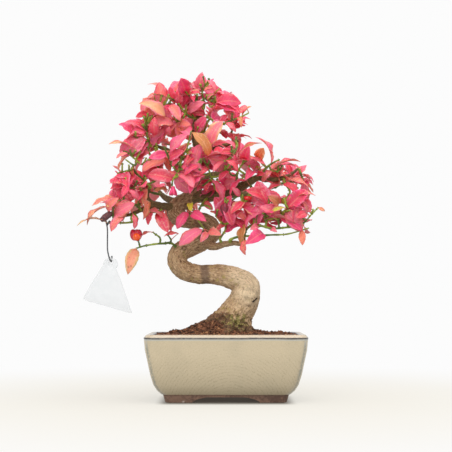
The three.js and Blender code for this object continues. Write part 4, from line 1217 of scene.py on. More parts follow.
@dataclass
class Wood:
    """The trunk with its root flare and barked limbs, grown together.

    A mesh row of ``follow`` holds a middle, a radius, a length, a stem's number and two normals.
    """

    voxel: float = 0.75
    trunk: Stem = field(default_factory=lambda: Stem(TRUNK))
    roots: list[Stem] = field(default_factory=lambda: [Stem(line) for line in ROOTS])
    limbs: list[Stem] = field(default_factory=lambda: [Stem(line) for line in LIMBS])

    def samples(self) -> Array:
        """The points that twigs may grow from."""
        return np.concatenate([stem.samples() for stem in (self.trunk, *self.limbs)])

    def thick_samples(self) -> Array:
        """Points with radii along the trunk and the roots."""
        lines = [np.column_stack(stem.smooth(6)) for stem in (self.trunk, *self.roots)]
        return np.concatenate(lines)

    @staticmethod
    def ridges(share: Array, angle: Array) -> Array:
        """Low ridges that wind slowly: 1 + sines of three and two times the angle."""
        threes = 0.035 * np.sin(3 * angle + 21 * share)
        return 1 + threes + 0.03 * np.sin(2 * angle - 34 * share + 1)

    def skin(self, maker: Maker) -> bpy.types.Mesh:
        """The stems' tubes, grown into one skin by a remesh and smoothed."""
        tubes = [self.trunk.tube(40, 6, self.ridges)]
        tubes += [root.tube(16, 5) for root in self.roots]
        tubes += [limb.tube(14, 4, scale=1.05) for limb in self.limbs]

        def add(obj: bpy.types.Object) -> None:
            """Remeshes on small cubes and relaxes the result."""
            remesh = obj.modifiers.new("grow", "REMESH")
            remesh.mode = "VOXEL"
            remesh.voxel_size = self.voxel * 0.001
            relax = obj.modifiers.new("relax", "SMOOTH")
            relax.factor = 0.5
            relax.iterations = 4

        return applied(maker.mesh("wood", Patch.join(tubes)), add)

    def follow(self, points: Array) -> tuple[Array, Array, Array]:
        """Where each point lies on the nearest stem.

        Args:
            points: Points on the bark.

        Returns:
            The length along, the angle round, and which stem it is.
        """
        rows = []
        for number, stem in enumerate((self.trunk, *self.roots, *self.limbs)):
            middles, radii = stem.smooth(6)
            _, normals, across = stem.frames(middles)
            steps = np.linalg.norm(np.diff(middles, axis=0), axis=1)
            length = np.concatenate([[0.0], np.cumsum(steps)])
            which = np.full(len(middles), float(number))
            rows.append(np.column_stack([middles, radii, length, which, normals, across]))
        table = np.concatenate(rows)

        def nearest(part: Array) -> Array:
            """The table's row whose skin lies nearest each point."""
            away = np.linalg.norm(part[:, None] - table[None, :, :3], axis=2)
            return (away - table[None, :, 3]).argmin(axis=1)

        parts = np.array_split(points, max(1, len(points) // 4000))
        found = table[np.concatenate([nearest(part) for part in parts])]
        away = points - found[:, :3]
        over = np.sum(away * found[:, 9:12], axis=1)
        angle = np.arctan2(over, np.sum(away * found[:, 6:9], axis=1))
        return found[:, 4], angle, found[:, 5]

    @staticmethod
    def from_line(points: Array, rows: Sequence[Sequence[float]], steps: int) -> Array:
        """How far points lie from a line, with the depth counted for a quarter.

        Args:
            points: Points on the bark.
            rows: The line's columns, rows and depths in the front view.
            steps: The steps between two of its points.

        Returns:
            The distances.
        """
        line = Stem([(*VIEW.seen(*row), 1) for row in rows]).smooth(steps)[0]
        return np.linalg.norm((points[:, None] - line[None]) * (1, 0.25, 1), axis=2).min(axis=1)

    def marks(self, points: Array) -> dict[str, Array]:
        """The bark's colour marks, by place: each is a sum of soft bells and bands.

        Args:
            points: Points on the bark.

        Returns:
            Values from 0 to 1 by name.
        """
        at = VIEW.seen
        x, y, z = points.T
        # light: a painted highlight on the upper side of the right bend, where light falls.
        light = hill(points, at(245, 272, -14), 16) + 0.8 * hill(points, at(252, 292, -18), 13)
        # dim: darker bark higher up the trunk and on its left bend.
        dim = smoothstep(140, 172, z) + 0.8 * hill(points, at(186, 259, -8), 8)
        scar = smoothstep(7.5, 1.5, np.abs(x + 21.0 + 0.12 * (z - 124)))
        scar = scar * smoothstep(112, 114, z) * smoothstep(136, 133, z)
        # The bend, the groove and the fold below: painted shade in the creases of the right bend.
        bend = np.linalg.norm((points - at(248, 297, -17)) * (1, 0.3, 1), axis=1)
        bend = np.abs(bend - 8.5 + 0.8 * ripple(points, 16.0, 8))
        rows = ((234, 263, -14), (246, 269, -14), (252, 279, -14), (254, 292, -14))
        groove_shade = smoothstep(1.6, 0.3, self.from_line(points, rows, 9))
        fold = (smoothstep(2.0, 0.3, bend) * smoothstep(14, 24, x) + 0.9 * groove_shade) * (y < 0)
        rows = ((253.5, 302, -15), (255.5, 300.2, -13), (257, 298.8, -11))
        crack = smoothstep(1.5, 0.2, self.from_line(points, rows, 8))
        # Painted shade in a dent on the bend, and a painted shadow under a spray in front.
        dent_shade = hill(points, at(245.5, 298, -18), 1.4)
        shadow = hill(points, at(201.5, 232, -8), 5)
        knot = np.linalg.norm((points - at(184, 248, -3)) * (1, 0.3, 1), axis=1)
        ring = smoothstep(1.0, 0.3, np.abs(knot - 2.1)) * (y < 2)
        # dark: a real crack and a knot's ring, with painted shade from the dent, the shadow and the
        # fold.
        dark = crack + 0.4 * dent_shade + 0.9 * shadow + 0.5 * ring + 0.2 * fold
        moss = smoothstep(99, 78, z) * (0.4 + 0.45 * hill(points, at(238, 318, -19), 9))
        moss = moss + 0.22 * smoothstep(150, 175, z)
        earth = smoothstep(98, 77, z + 0.35 * x + 2.5 * ripple(points, 7.0, 5))
        return {
            "light": np.clip(light, 0, 1),
            "dim": np.clip(dim, 0, 1) * 0.8,
            "scar": scar,
            "moss": np.clip(moss, 0, 1),
            "earth": np.clip(earth, 0, 1) * 0.85,
            "dark": np.clip(dark, 0, 1),
        }

    def dress(self, maker: Maker) -> None:
        """Makes the wood with its fine relief and its marks."""
        mesh = self.skin(maker)
        count = len(mesh.vertices)
        points, normals = np.zeros(count * 3), np.zeros(count * 3)
        mesh.vertices.foreach_get("co", points)
        mesh.vertex_normals.foreach_get("vector", normals)
        points = points.reshape(-1, 3) * 1000.0 - maker.shift
        normals = normals.reshape(-1, 3)
        length, angle, which = self.follow(points)
        grain = np.column_stack([np.cos(angle), np.sin(angle), length / 42.0 + which])
        marks = self.marks(points)
        relief = 0.3 * ripple(grain * (2.2, 2.2, 4.0), 2.1, 1) + 0.26 * ripple(points, 6.5, 2)
        relief = relief + 0.14 * ripple(points, 2.6, 4) - 1.6 * marks["dark"] - 0.3 * marks["scar"]
        relief = relief + marks["earth"] * (1.5 * ripple(points, 6.0, 6) + 0.8)
        relief = relief * np.where(which == 0, 1.0, 0.6)
        # The limbs come after the trunk and the roots. The low one on the right is old wood.
        first_limb, old_limb = 1 + len(self.roots), 4 + len(self.roots)
        on_limb = np.where(which == old_limb, 0.3, 1.0)
        high = smoothstep(203, 218, points[:, 2])
        marks["limb"] = np.where(which >= first_limb, on_limb, high)
        points = points + normals * relief[:, None]
        mesh.vertices.foreach_set("co", ((points + maker.shift) * 0.001).ravel())
        carry(mesh, {**marks, "grain": grain})
        maker.piece("trunk_and_limbs", mesh, BarkFinish().make(), ["trunk"])


# ----- the leafy sprays


@dataclass(frozen=True)
class SprayPlan:
    """A spray that the front view shows.

    A twig's points are (column, row, depth). A leaf is the base's and the tip's column and row,
    the width that shows, and the letters of its heart's and its margin's tints.
    """

    name: str
    slot: Slot
    twigs: tuple
    leaves: tuple


SPRAYS = (
    SprayPlan(
        "spray_apex", Slot.PINK,
        (((204, 105, 0), (203.5, 99, -2), (202, 91, -5), (205, 84, -7)),
         ((209, 97, -5), (216, 90.5, -9), (220, 87, -10)),
         ((196, 101, -7), (188.5, 94, -12), (184, 90, -14)),
         ((210, 106, -8), (216, 102, -13))),
        ((199, 91, 202, 70.5, 10, "PP"), (184, 92, 180, 76, 16, "MP"),
         (215, 91, 207.5, 78.5, 6, "PR"),
         (210, 92, 225, 94, 3.5, "PP"), (207, 99, 214, 92.5, 4, "PG"),
         (212, 101, 236, 106, 9, "RD"),
         (213, 103, 237, 110, 8, "RP"), (188, 110, 203, 101, 10, "PP"), (190, 93, 181, 89, 5, "RR"),
         (190, 92, 200, 91, 5, "RK"), (205, 113, 191, 112, 8, "DR"), (204, 89, 213, 87, 4, "SS"),
         (189, 92, 189, 84, 5, "RK"), (192, 95, 194, 101, 5, "RR")),
    ),
    SprayPlan(
        "spray_apex_left", Slot.SALMON,
        (((190, 116, -6), (184, 111, -10), (179, 104, -13), (173, 97, -15), (163, 92, -17),
          (157, 85, -18)),
         ((168, 103, -18), (160, 104, -21), (155, 100, -22)),
         ((182, 119, -13), (177, 121, -17))),
        ((168, 92, 147, 82.5, 5, "SP"), (172, 100, 145, 98, 6, "PS"),
         (165, 116, 139, 101, 13, "OP"),
         (172, 110, 163, 105, 7, "MR"), (170, 104, 180, 120, 10, "SP"),
         (179, 124, 190, 124, 9, "SP"),
         (173, 98, 169, 85, 8, "RP"), (178, 104, 178, 88, 9, "RR"), (150, 120, 160, 113, 3, "PP")),
    ),
    SprayPlan(
        "spray_apex_right", Slot.PINK,
        (((202, 131, -5), (208, 131, -8), (216, 127, -12), (226, 122, -14), (233, 119, -15),
          (241, 116, -16),
          (249, 112, -16)),
         ((212, 119, -14), (206, 116, -15)),
         ((214, 136, -16), (212, 144, -20))),
        ((247, 105, 238, 113, 6, "SR"), (240, 118, 241.5, 125.5, 6, "BR"),
         (209, 145, 222, 120, 14, "PO"),
         (209, 143, 232, 148, 9, "RS"), (226, 122, 236, 131, 6, "PR"),
         (219, 126, 231, 113, 6, "RP"),
         (212, 123, 221, 120, 3, "PP"), (243, 115, 252, 106, 4, "SG")),
    ),
    SprayPlan(
        "spray_left_upper", Slot.PINK,
        (((150, 145, -19), (147, 136, -21), (146, 125, -23), (146, 119, -24)),
         ((143, 142, -23), (138, 138, -25), (133, 135, -26))),
        ((148, 113, 135, 116.5, 7, "RR"), (145, 132, 124, 122, 8, "RP"),
         (146, 136, 126, 136.5, 3.5, "PP"),
         (140, 152, 108, 143.5, 6.5, "OS"), (154, 135, 154, 116, 10, "RR"),
         (151, 149, 163, 132, 7.5, "PP"),
         (168, 134, 169, 126, 6, "PR")),
    ),
    SprayPlan(
        "spray_left_middle", Slot.SALMON,
        (((156, 153, -18), (150, 158, -22), (142, 164, -25), (134, 158, -28), (127, 152, -29),
          (122.5, 150.5, -30)),
         ((134, 165, -29), (125, 159, -31))),
        ((133, 153, 118.5, 170, 5, "BS"), (151, 148, 136, 173, 8, "PP"),
         (166, 160, 142, 171, 12, "SP"),
         (159, 151, 176, 163, 8, "OS"), (127, 153, 116, 158, 5, "SP"),
         (135, 166, 133, 176, 4, "BR")),
    ),
    SprayPlan(
        "spray_left", Slot.RED,
        (((150, 186, -18), (144, 181, -20), (138, 175, -22), (131, 170, -24), (117, 173, -26)),
         ((140, 187, -24), (134, 188, -26), (127, 187, -27)),
         ((156, 180, -20), (160, 177, -22), (166, 175, -24)),
         ((142, 193, -24), (139, 197, -26))),
        ((135, 188, 112.5, 177, 6, "SP"), (126, 187, 110, 188, 7, "RP"),
         (127, 186, 122, 196.5, 7, "RR"),
         (145, 185, 128, 180, 7, "RP"), (139, 200, 128, 190, 7, "PR"),
         (143, 190, 138, 200, 7, "RR"),
         (168, 190, 154, 192, 5, "BS"), (170, 179, 160, 181, 6, "RP"),
         (141, 195, 144.5, 219, 6.5, "SB"),
         (128, 188, 108.5, 184.5, 3, "SS"), (167, 173, 175, 173, 6, "SR")),
    ),
    SprayPlan(
        "spray_left_low", Slot.SALMON,
        (((140, 209, -19), (134, 204, -22), (127, 202, -24), (118, 200, -26)),),
        ((120, 203, 91.5, 203.5, 9, "SO"), (118, 202, 106, 207, 8, "KS"),
         (131, 203, 118, 205, 6, "PP"),
         (133, 205, 127, 209, 5, "GS")),
    ),
    SprayPlan(
        "spray_left_tip", Slot.SALMON,
        (((137, 220, -24), (129, 222.5, -27), (118, 223, -29), (107, 223, -30)),
         ((113, 217, -31), (108, 211, -32)),
         ((131, 217, -28), (133, 214, -29))),
        ((107, 207, 87, 225.5, 5.5, "OS"), (105, 223, 76.5, 225.5, 3, "KO"),
         (123, 216, 111.5, 232, 9, "SP"),
         (132, 210, 121.5, 216, 4, "PP"), (133, 214, 134, 229, 5, "PR")),
    ),
    SprayPlan(
        "spray_bottom_left", Slot.SALMON,
        (((172, 243.5, 0), (164, 243.5, -5), (156, 244, -9), (144, 246, -12), (136, 248.5, -14)),
         ((160, 238, -9), (155, 234, -11), (152.5, 232, -12)),
         ((171, 240, -5), (167, 234, -8)),
         ((139, 243, -14), (138, 240.5, -14))),
        ((153, 232.5, 139, 240, 3.5, "SR"), (134, 249, 128, 273.5, 13, "OK"),
         (179, 234, 164, 236.5, 4.5, "SR")),
    ),
    SprayPlan(
        "spray_trunk_left", Slot.RED,
        (((161, 210, -5), (156, 212, -10), (150, 212, -13), (145, 211, -15)),),
        ((145, 210, 163, 219, 6, "PS"), (158, 212, 168, 233, 12, "RS"),
         (152, 212, 148, 225, 6, "RP")),
    ),
    SprayPlan(
        "spray_trunk_front", Slot.PINK,
        (((203, 203, -13), (199, 210, -17), (198, 219, -20), (204, 229, -21)),
         ((192, 210, -18), (189, 207, -19)),
         ((208, 206, -18), (211, 209, -19))),
        ((188, 212, 177, 229, 10, "MM"), (192, 213, 206, 221, 10, "MR"),
         (202, 229.5, 179, 246, 13, "PS"),
         (209, 231, 221, 235, 9, "SO"), (207, 232, 200.5, 242, 7, "SP"),
         (205, 202, 213, 210, 7, "SR"),
         (210, 211, 221, 223, 5, "SB"), (190, 203, 191, 211, 6, "YY")),
    ),
    SprayPlan(
        "spray_centre_left", Slot.PINK,
        (((172, 165, -30), (169, 158, -33), (166, 151, -34)),
         ((176, 164, -34), (182, 159, -37), (188, 153, -39)),
         ((180, 166, -37), (178, 172, -38), (173, 179, -39), (172, 185, -39), (173, 190, -39)),
         ((186, 150, -40), (189, 140, -40), (191, 130, -39))),
        ((179, 159, 190.5, 142, 8, "DO"), (181, 160, 200, 154, 4, "SO"),
         (170, 151, 187, 135, 11, "PM"),
         (209, 156, 193, 131, 12, "BB"), (172, 166, 180, 158, 5, "RP")),
    ),
    SprayPlan(
        "spray_centre", Slot.PINK,
        (((216, 189, -17), (213, 181, -25), (210, 173, -31), (207, 165, -34)),
         ((205, 175, -34), (199, 168, -38), (196, 163, -40)),
         ((218, 176, -31), (223, 172, -33), (226, 168, -34)),
         ((206, 183, -30), (202, 186, -32))),
        ((207, 163, 194, 172, 6, "MM"), (201, 172, 185, 183, 5, "BS"),
         (205, 175, 190, 194, 7.5, "MP"),
         (195, 160, 181, 170, 8, "MR"), (198, 165, 184, 174, 7, "RM"),
         (192, 157, 186, 164, 7, "DR"),
         (212, 180, 222, 203, 9, "PR"), (198, 184, 208, 191, 4, "PD"),
         (207, 168, 200, 174, 6, "RR"),
         (210, 183, 206, 192, 4, "DP")),
    ),
    SprayPlan(
        "spray_centre_right", Slot.RED,
        (((237, 145, -35), (235, 151, -39), (231, 157, -42), (224, 161, -44)),
         ((236, 141, -36), (236.5, 136, -36))),
        ((203, 158, 236, 160, 6, "RP"), (222, 161, 213, 172, 6, "PR"),
         (226, 160, 238, 171, 6, "RR"),
         (235, 148, 224, 141, 5, "PR")),
    ),
    SprayPlan(
        "spray_right_upper", Slot.PINK,
        (((237, 181, -25), (238, 171, -29), (243, 163, -32), (247, 157, -34)),
         ((232, 175, -29), (227, 169, -31)),
         ((246, 174, -30), (253, 171, -32))),
        ((238, 158, 262.5, 143.5, 6, "BR"), (247, 158, 249, 146, 13, "MP"),
         (266, 165, 237, 162, 8, "PR"),
         (256, 172, 246, 179, 9, "MM"), (229, 171, 219, 181, 6, "RP"),
         (227, 168, 218, 160, 6, "PR")),
    ),
    SprayPlan(
        "spray_right_end", Slot.SALMON,
        (((263, 172, -27), (268, 166, -29), (274, 162, -30), (280, 159, -31)),
         ((272, 170, -28), (278, 171, -28)),
         ((263, 164, -31), (258, 158, -32))),
        ((258, 157, 264, 147.5, 11, "BO"), (272, 166, 258, 135.5, 5, "PS"),
         (273, 170, 301, 161.5, 4, "BR"),
         (273, 170, 301, 168, 5, "RP"), (257, 174, 265, 174, 6, "DR"),
         (270, 172, 262, 182, 6, "SP"),
         (252, 170, 262, 168, 3, "GG"), (268, 171, 292, 173, 4, "RR")),
    ),
    SprayPlan(
        "spray_right", Slot.RED,
        (((286, 184, -22), (290, 191, -25), (288, 198, -28), (282, 203, -30)),
         ((292, 186, -26), (299, 188, -27))),
        ((283, 181, 309, 186.5, 7, "SR"), (283, 185, 266.5, 194.5, 5, "RP"),
         (283, 184, 298, 194, 8, "RR"),
         (292, 201, 315.5, 194.5, 7, "SB"), (279, 204, 268, 196, 10, "BS"),
         (281, 203, 291, 197, 7, "GB"),
         (280, 198, 290, 198, 3, "PP")),
    ),
    SprayPlan(
        "spray_right_inner", Slot.RED,
        (((252, 190, -27), (250, 196, -30), (246, 201, -32), (238, 203, -33)),
         ((259, 190, -29), (266, 188, -30)),
         ((240, 195, -30), (232, 200, -32), (227, 201, -34), (225, 204, -36)),
         ((246, 200, -33), (247.5, 198.5, -36))),
        ((264, 196, 246, 190, 13, "RP"), (245, 200, 231, 214, 9, "RO"),
         (248, 180, 229, 194, 6.5, "RP"),
         (268, 188, 262, 200, 5, "RR"), (240, 196, 232, 187, 6, "PR")),
    ),
    SprayPlan(
        "spray_right_low", Slot.PINK,
        (((244, 240, -23), (246, 230, -25), (253, 225, -27), (262, 226, -29), (272, 228.5, -31),
          (286, 227.5, -31),
          (298, 226, -30), (305, 222, -29), (311, 215, -28), (318.5, 207.5, -27)),
         ((267, 219, -32), (268.5, 211, -34), (269, 205, -35)),
         ((279, 219, -33), (283, 212, -34), (288, 208, -35))),
        ((307, 214, 301, 199.5, 6, "SP"), (257, 218, 241, 205, 9, "MO"),
         (286, 208, 270, 216, 6, "GP"),
         (290, 207, 305, 209, 4, "PP"), (306, 213, 296, 218, 8, "RR"),
         (262, 221, 298, 227.5, 5.5, "SR"),
         (258, 226, 250, 230, 6, "PP"), (319, 208.5, 325, 211, 3.5, "OS"),
         (246, 221, 232, 212, 8, "SP"),
         (246, 228, 262, 213, 7, "PR"), (246, 223, 243, 247.5, 7, "BO"),
         (271, 229, 277, 232, 5, "PP")),
    ),
    SprayPlan(
        "spray_bottom_right", Slot.PINK,
        (((230, 240, -22), (240, 236.5, -29), (255, 236, -32), (270, 235, -33), (288, 234, -33),
          (309, 228, -32)),),
        ((301, 232, 302.5, 245.5, 7, "SS"), (263, 233, 246, 244, 13, "MM"),
         (246, 240, 245, 255, 6, "SR")),
    ),
    SprayPlan(
        "spray_centre_low", Slot.RED,
        (((220, 239, -15), (225, 231, -19), (226, 225, -22), (231, 218, -24)),
         ((221, 222, -24), (216, 216, -26))),
        ((228, 225, 216, 232, 6, "RS"), (231, 218, 221, 209, 6, "PR"),
         (232, 219, 242, 210, 6, "RP"),
         (226, 234, 246, 221, 10, "MM")),
    ),
)

# Sprays on the sides and the back: the name, the slot, the end of each shoot, and the leaf size.
FAR_SPRAYS = (
    ("spray_back_left_low", Slot.PINK, ((-76, 78, 216), (-100, 62, 206)), 1.0),
    ("spray_back_left", Slot.RED, ((-92, 36, 218), (-106, 26, 202)), 1.0),
    ("spray_back_middle", Slot.PINK, ((14, 76, 244), (-14, 70, 254)), 1.0),
    ("spray_back_right", Slot.SALMON, ((74, 58, 222), (54, 72, 230)), 0.9),
    ("spray_back_right_low", Slot.RED, ((28, 62, 198), (6, 58, 214)), 1.0),
    ("spray_right_side", Slot.PINK, ((80, 8, 214), (66, 20, 226)), 0.66),
    ("spray_back_upper_left", Slot.SALMON, ((-70, 44, 264), (-46, 50, 282)), 0.95),
    ("spray_back_top", Slot.PINK, ((-12, 36, 300), (-36, 36, 292)), 0.9),
    ("spray_back_upper_right", Slot.RED, ((12, 24, 262), (10, 16, 282)), 0.85),
    ("spray_left_side", Slot.PINK, ((-112, 4, 196), (-104, 6, 218)), 0.8),
    ("spray_back_low", Slot.SALMON, ((-38, 62, 192), (-60, 54, 190)), 1.0),
    ("spray_left_upper_back", Slot.RED, ((-90, 8, 256), (-78, 22, 270)), 0.9),
)

# Where the front view shows dense leaves: column, row, half width, half height and leaves.
DENSE = (
    (203, 93, 17, 13, 14), (176, 101, 20, 13, 14), (221, 108, 15, 10, 7), (158, 124, 18, 11, 11),
    (190, 126, 20, 14, 13), (148, 150, 22, 13, 12), (204, 160, 28, 14, 20), (238, 162, 22, 11, 11),
    (266, 176, 20, 7, 7), (280, 207, 24, 12, 15), (242, 215, 24, 13, 14), (134, 181, 22, 13, 13),
    (128, 207, 20, 8, 8), (222, 186, 18, 8, 7), (284, 221, 28, 9, 17), (160, 168, 18, 14, 12),
    (181, 173, 11, 10, 7), (151, 107, 9, 9, 5), (134, 130, 10, 8, 4),
)

# The tints that a ruled leaf draws from, by the spray's slot.
RULED_TINTS = {
    Slot.PINK: ("PM", "MP", "PR", "PP", "RM", "PS", "RP", "MR"),
    Slot.RED: ("RP", "RR", "DR", "RM", "PR", "RS", "MR", "RP"),
    Slot.SALMON: ("SP", "PS", "SR", "PS", "PP", "SO", "RS", "SP"),
}


@dataclass
class Leaf:
    """One leaf: where its stalk starts, its base and tip, and its form."""

    root: Array
    base: Array
    tip: Array
    width: float
    turn: float
    arch: float
    number: int
    tints: str
    normal: Optional[Array] = None

    def face(self) -> Array:
        """The direction that the upper side faces."""
        along = unit(self.tip - self.base)
        if self.normal is not None:
            return unit(self.normal - along * (self.normal @ along))
        front = unit(np.array([0, -1, 0.15]) + along * (along[1] - 0.15 * along[2]))
        side = np.cross(along, front)
        c, s = math.cos(self.turn), math.sin(self.turn)
        return max(c * front + s * side, c * front - s * side, key=lambda way: way[2])


class Foliage:
    """The blades of many leaves at once, as arrays over the leaves, their length and breadth."""

    rows = 13
    columns = 7
    thickness = 0.28
    stalk_colour = (206, 96, 92)
    specked = tuple("OSBKG")

    def __init__(self, leaves: Sequence[Leaf]) -> None:
        """Gathers the leaves' sizes as arrays."""
        self.leaves = leaves
        self.base = np.array([leaf.base for leaf in leaves])
        self.tip = np.array([leaf.tip for leaf in leaves])
        self.face = np.array([leaf.face() for leaf in leaves])
        self.width = np.array([leaf.width for leaf in leaves])
        self.arch = np.array([leaf.arch for leaf in leaves])
        self.number = np.array([leaf.number for leaf in leaves])

    def pick(self, place: int) -> Array:
        """A draw for each leaf, to go with arrays over the leaves' length and breadth."""
        return draw(self.number, place)[:, None, None]

    def colours(self, which: int) -> Array:
        """Each leaf's heart or margin colour, lighter or deeper by a draw."""
        base = np.array([linear(Tint[leaf.tints[which]].value) for leaf in self.leaves])
        tone = 0.86 + 0.3 * draw(self.number, 31 + which)
        warm = 0.9 + 0.22 * draw(self.number, 33)
        full = np.ones_like(tone)
        shift = np.column_stack([full, warm, 2 - warm])
        return np.column_stack([base * tone[:, None] * shift, full])

    def skin(self, t: Array, v: Array) -> tuple[Array, Array]:
        """The blades' middle surfaces.

        The half width at a share t of the length is half the width times sin(pi t^a)^b, toothed
        a little, with a from 0.82 to 0.98 and b from 0.5 to 0.72. The height over the chord is
        4 * arch * length * t (1 - t), plus a fold up to the edges, waves along the edges, and a
        turn of the tip.

        Args:
            t: Shares of the length.
            v: Shares of the half width, from one edge to the other.

        Returns:
            The points, and half the thickness at each as a vector.
        """
        pick = self.pick
        length = np.linalg.norm(self.tip - self.base, axis=1)[:, None, None]
        along = unit(self.tip - self.base)
        side, face = np.cross(along, self.face)[:, None, None], self.face[:, None, None]
        teeth = 1.0 + 0.035 * np.cos(math.pi * np.arange(self.rows))[None, :, None]
        profile = np.sin(math.pi * t ** (0.82 + 0.16 * pick(40))) ** (0.5 + 0.22 * pick(48))
        half = np.maximum(0.5 * self.width[:, None, None] * profile * teeth, 0.22)
        fold = (0.08 + 0.34 * pick(41)) * half * np.abs(v) ** 1.4
        phase = 2 * math.pi * (1.5 + pick(42)) * t + 6.28 * pick(43) + 1.5 * np.sign(v)
        wave = 0.17 * half * np.sin(phase) * v * v
        tip_turn = 0.16 * (pick(44) - 0.6) * length * t**4
        rise = 4 * self.arch[:, None, None] * length * t * (1 - t) + fold + wave + tip_turn
        sway = 0.07 * (pick(45) - 0.5) * length * np.sin(math.pi * t)
        middle = self.base[:, None, None] + along[:, None, None] * (length * t)[..., None]
        flat = middle + side * (half * v + sway)[..., None]
        thick = 0.5 * self.thickness * (1 - 0.6 * v * v) + 0 * half
        return flat + face * rise[..., None], face * thick[..., None]

    def blades(self) -> Patch:
        """Every blade, upper and lower side and edge, as one patch with its marks."""
        t = np.linspace(0.0, 1.0, self.rows)[None, :, None]
        v = np.linspace(-1.0, 1.0, self.columns)[None, None, :]
        skin, lift = self.skin(t, v)
        points = np.stack([skin + lift, skin - lift], axis=1)
        count, each = len(self.leaves), 2 * self.rows * self.columns
        quads = (self.faces()[None] + each * np.arange(count)[:, None, None]).reshape(-1, 4)

        def spread(values: Any) -> Array:
            """Values at every point of every blade."""
            return np.broadcast_to(values, (count, 2, self.rows, self.columns)).reshape(-1)

        aged = np.isin([leaf.tints[0] for leaf in self.leaves], self.specked)
        speck = (0.25 + 0.75 * draw(self.number, 47)) * np.where(aged, 1.0, 0.35)
        whole = {"heart": self.colours(0), "margin": self.colours(1), "speck": speck}
        marks = {name: np.repeat(values, each, axis=0) for name, values in whole.items()}
        marks["blade"] = np.column_stack([spread(t[:, None]), spread(v[:, None]), spread(0.0)])
        marks["under"] = spread(np.array([0.0, 1.0])[None, :, None, None])
        return Patch(points.reshape(-1, 3), quads, NO_TRIS, marks)

    def faces(self) -> Array:
        """One blade's faces: the upper side, the lower side turned over, and the edge."""
        top = np.arange(self.rows * self.columns).reshape(self.rows, self.columns)
        quads = np.stack([top[:-1, :-1], top[:-1, 1:], top[1:, 1:], top[1:, :-1]], axis=-1)
        quads = quads.reshape(-1, 4)
        under = quads[:, ::-1] + top.size
        loop = np.concatenate([top[:-1, 0], top[-1, :-1], top[:0:-1, -1], top[0, :0:-1]])
        after = np.roll(loop, -1)
        edge = np.stack([loop, after, after + top.size, loop + top.size], axis=-1)
        return np.concatenate([quads, under, edge])

    def stalks(self) -> Patch:
        """A thin stalk from each leaf's root on its twig to the base of its blade."""
        patches = []
        for leaf in self.leaves:
            back, face = unit(leaf.tip - leaf.base), leaf.face()
            inner = leaf.base + back * 1.5 + face * 0.12
            start = leaf.root if np.linalg.norm(leaf.root - leaf.base) > 0.5 else leaf.base - back
            middle = 0.5 * (start + inner) + face * 0.25
            patches.append(Stem([(*start, 0.5), (*middle, 0.38), (*inner, 0.3)]).tube(5, 3))
        patch = Patch.join(patches)
        colour = (*linear(self.stalk_colour), 1.0)
        return patch.mark(heart=colour, margin=colour, blade=(0, 0, 0), under=0.0, speck=0.0)


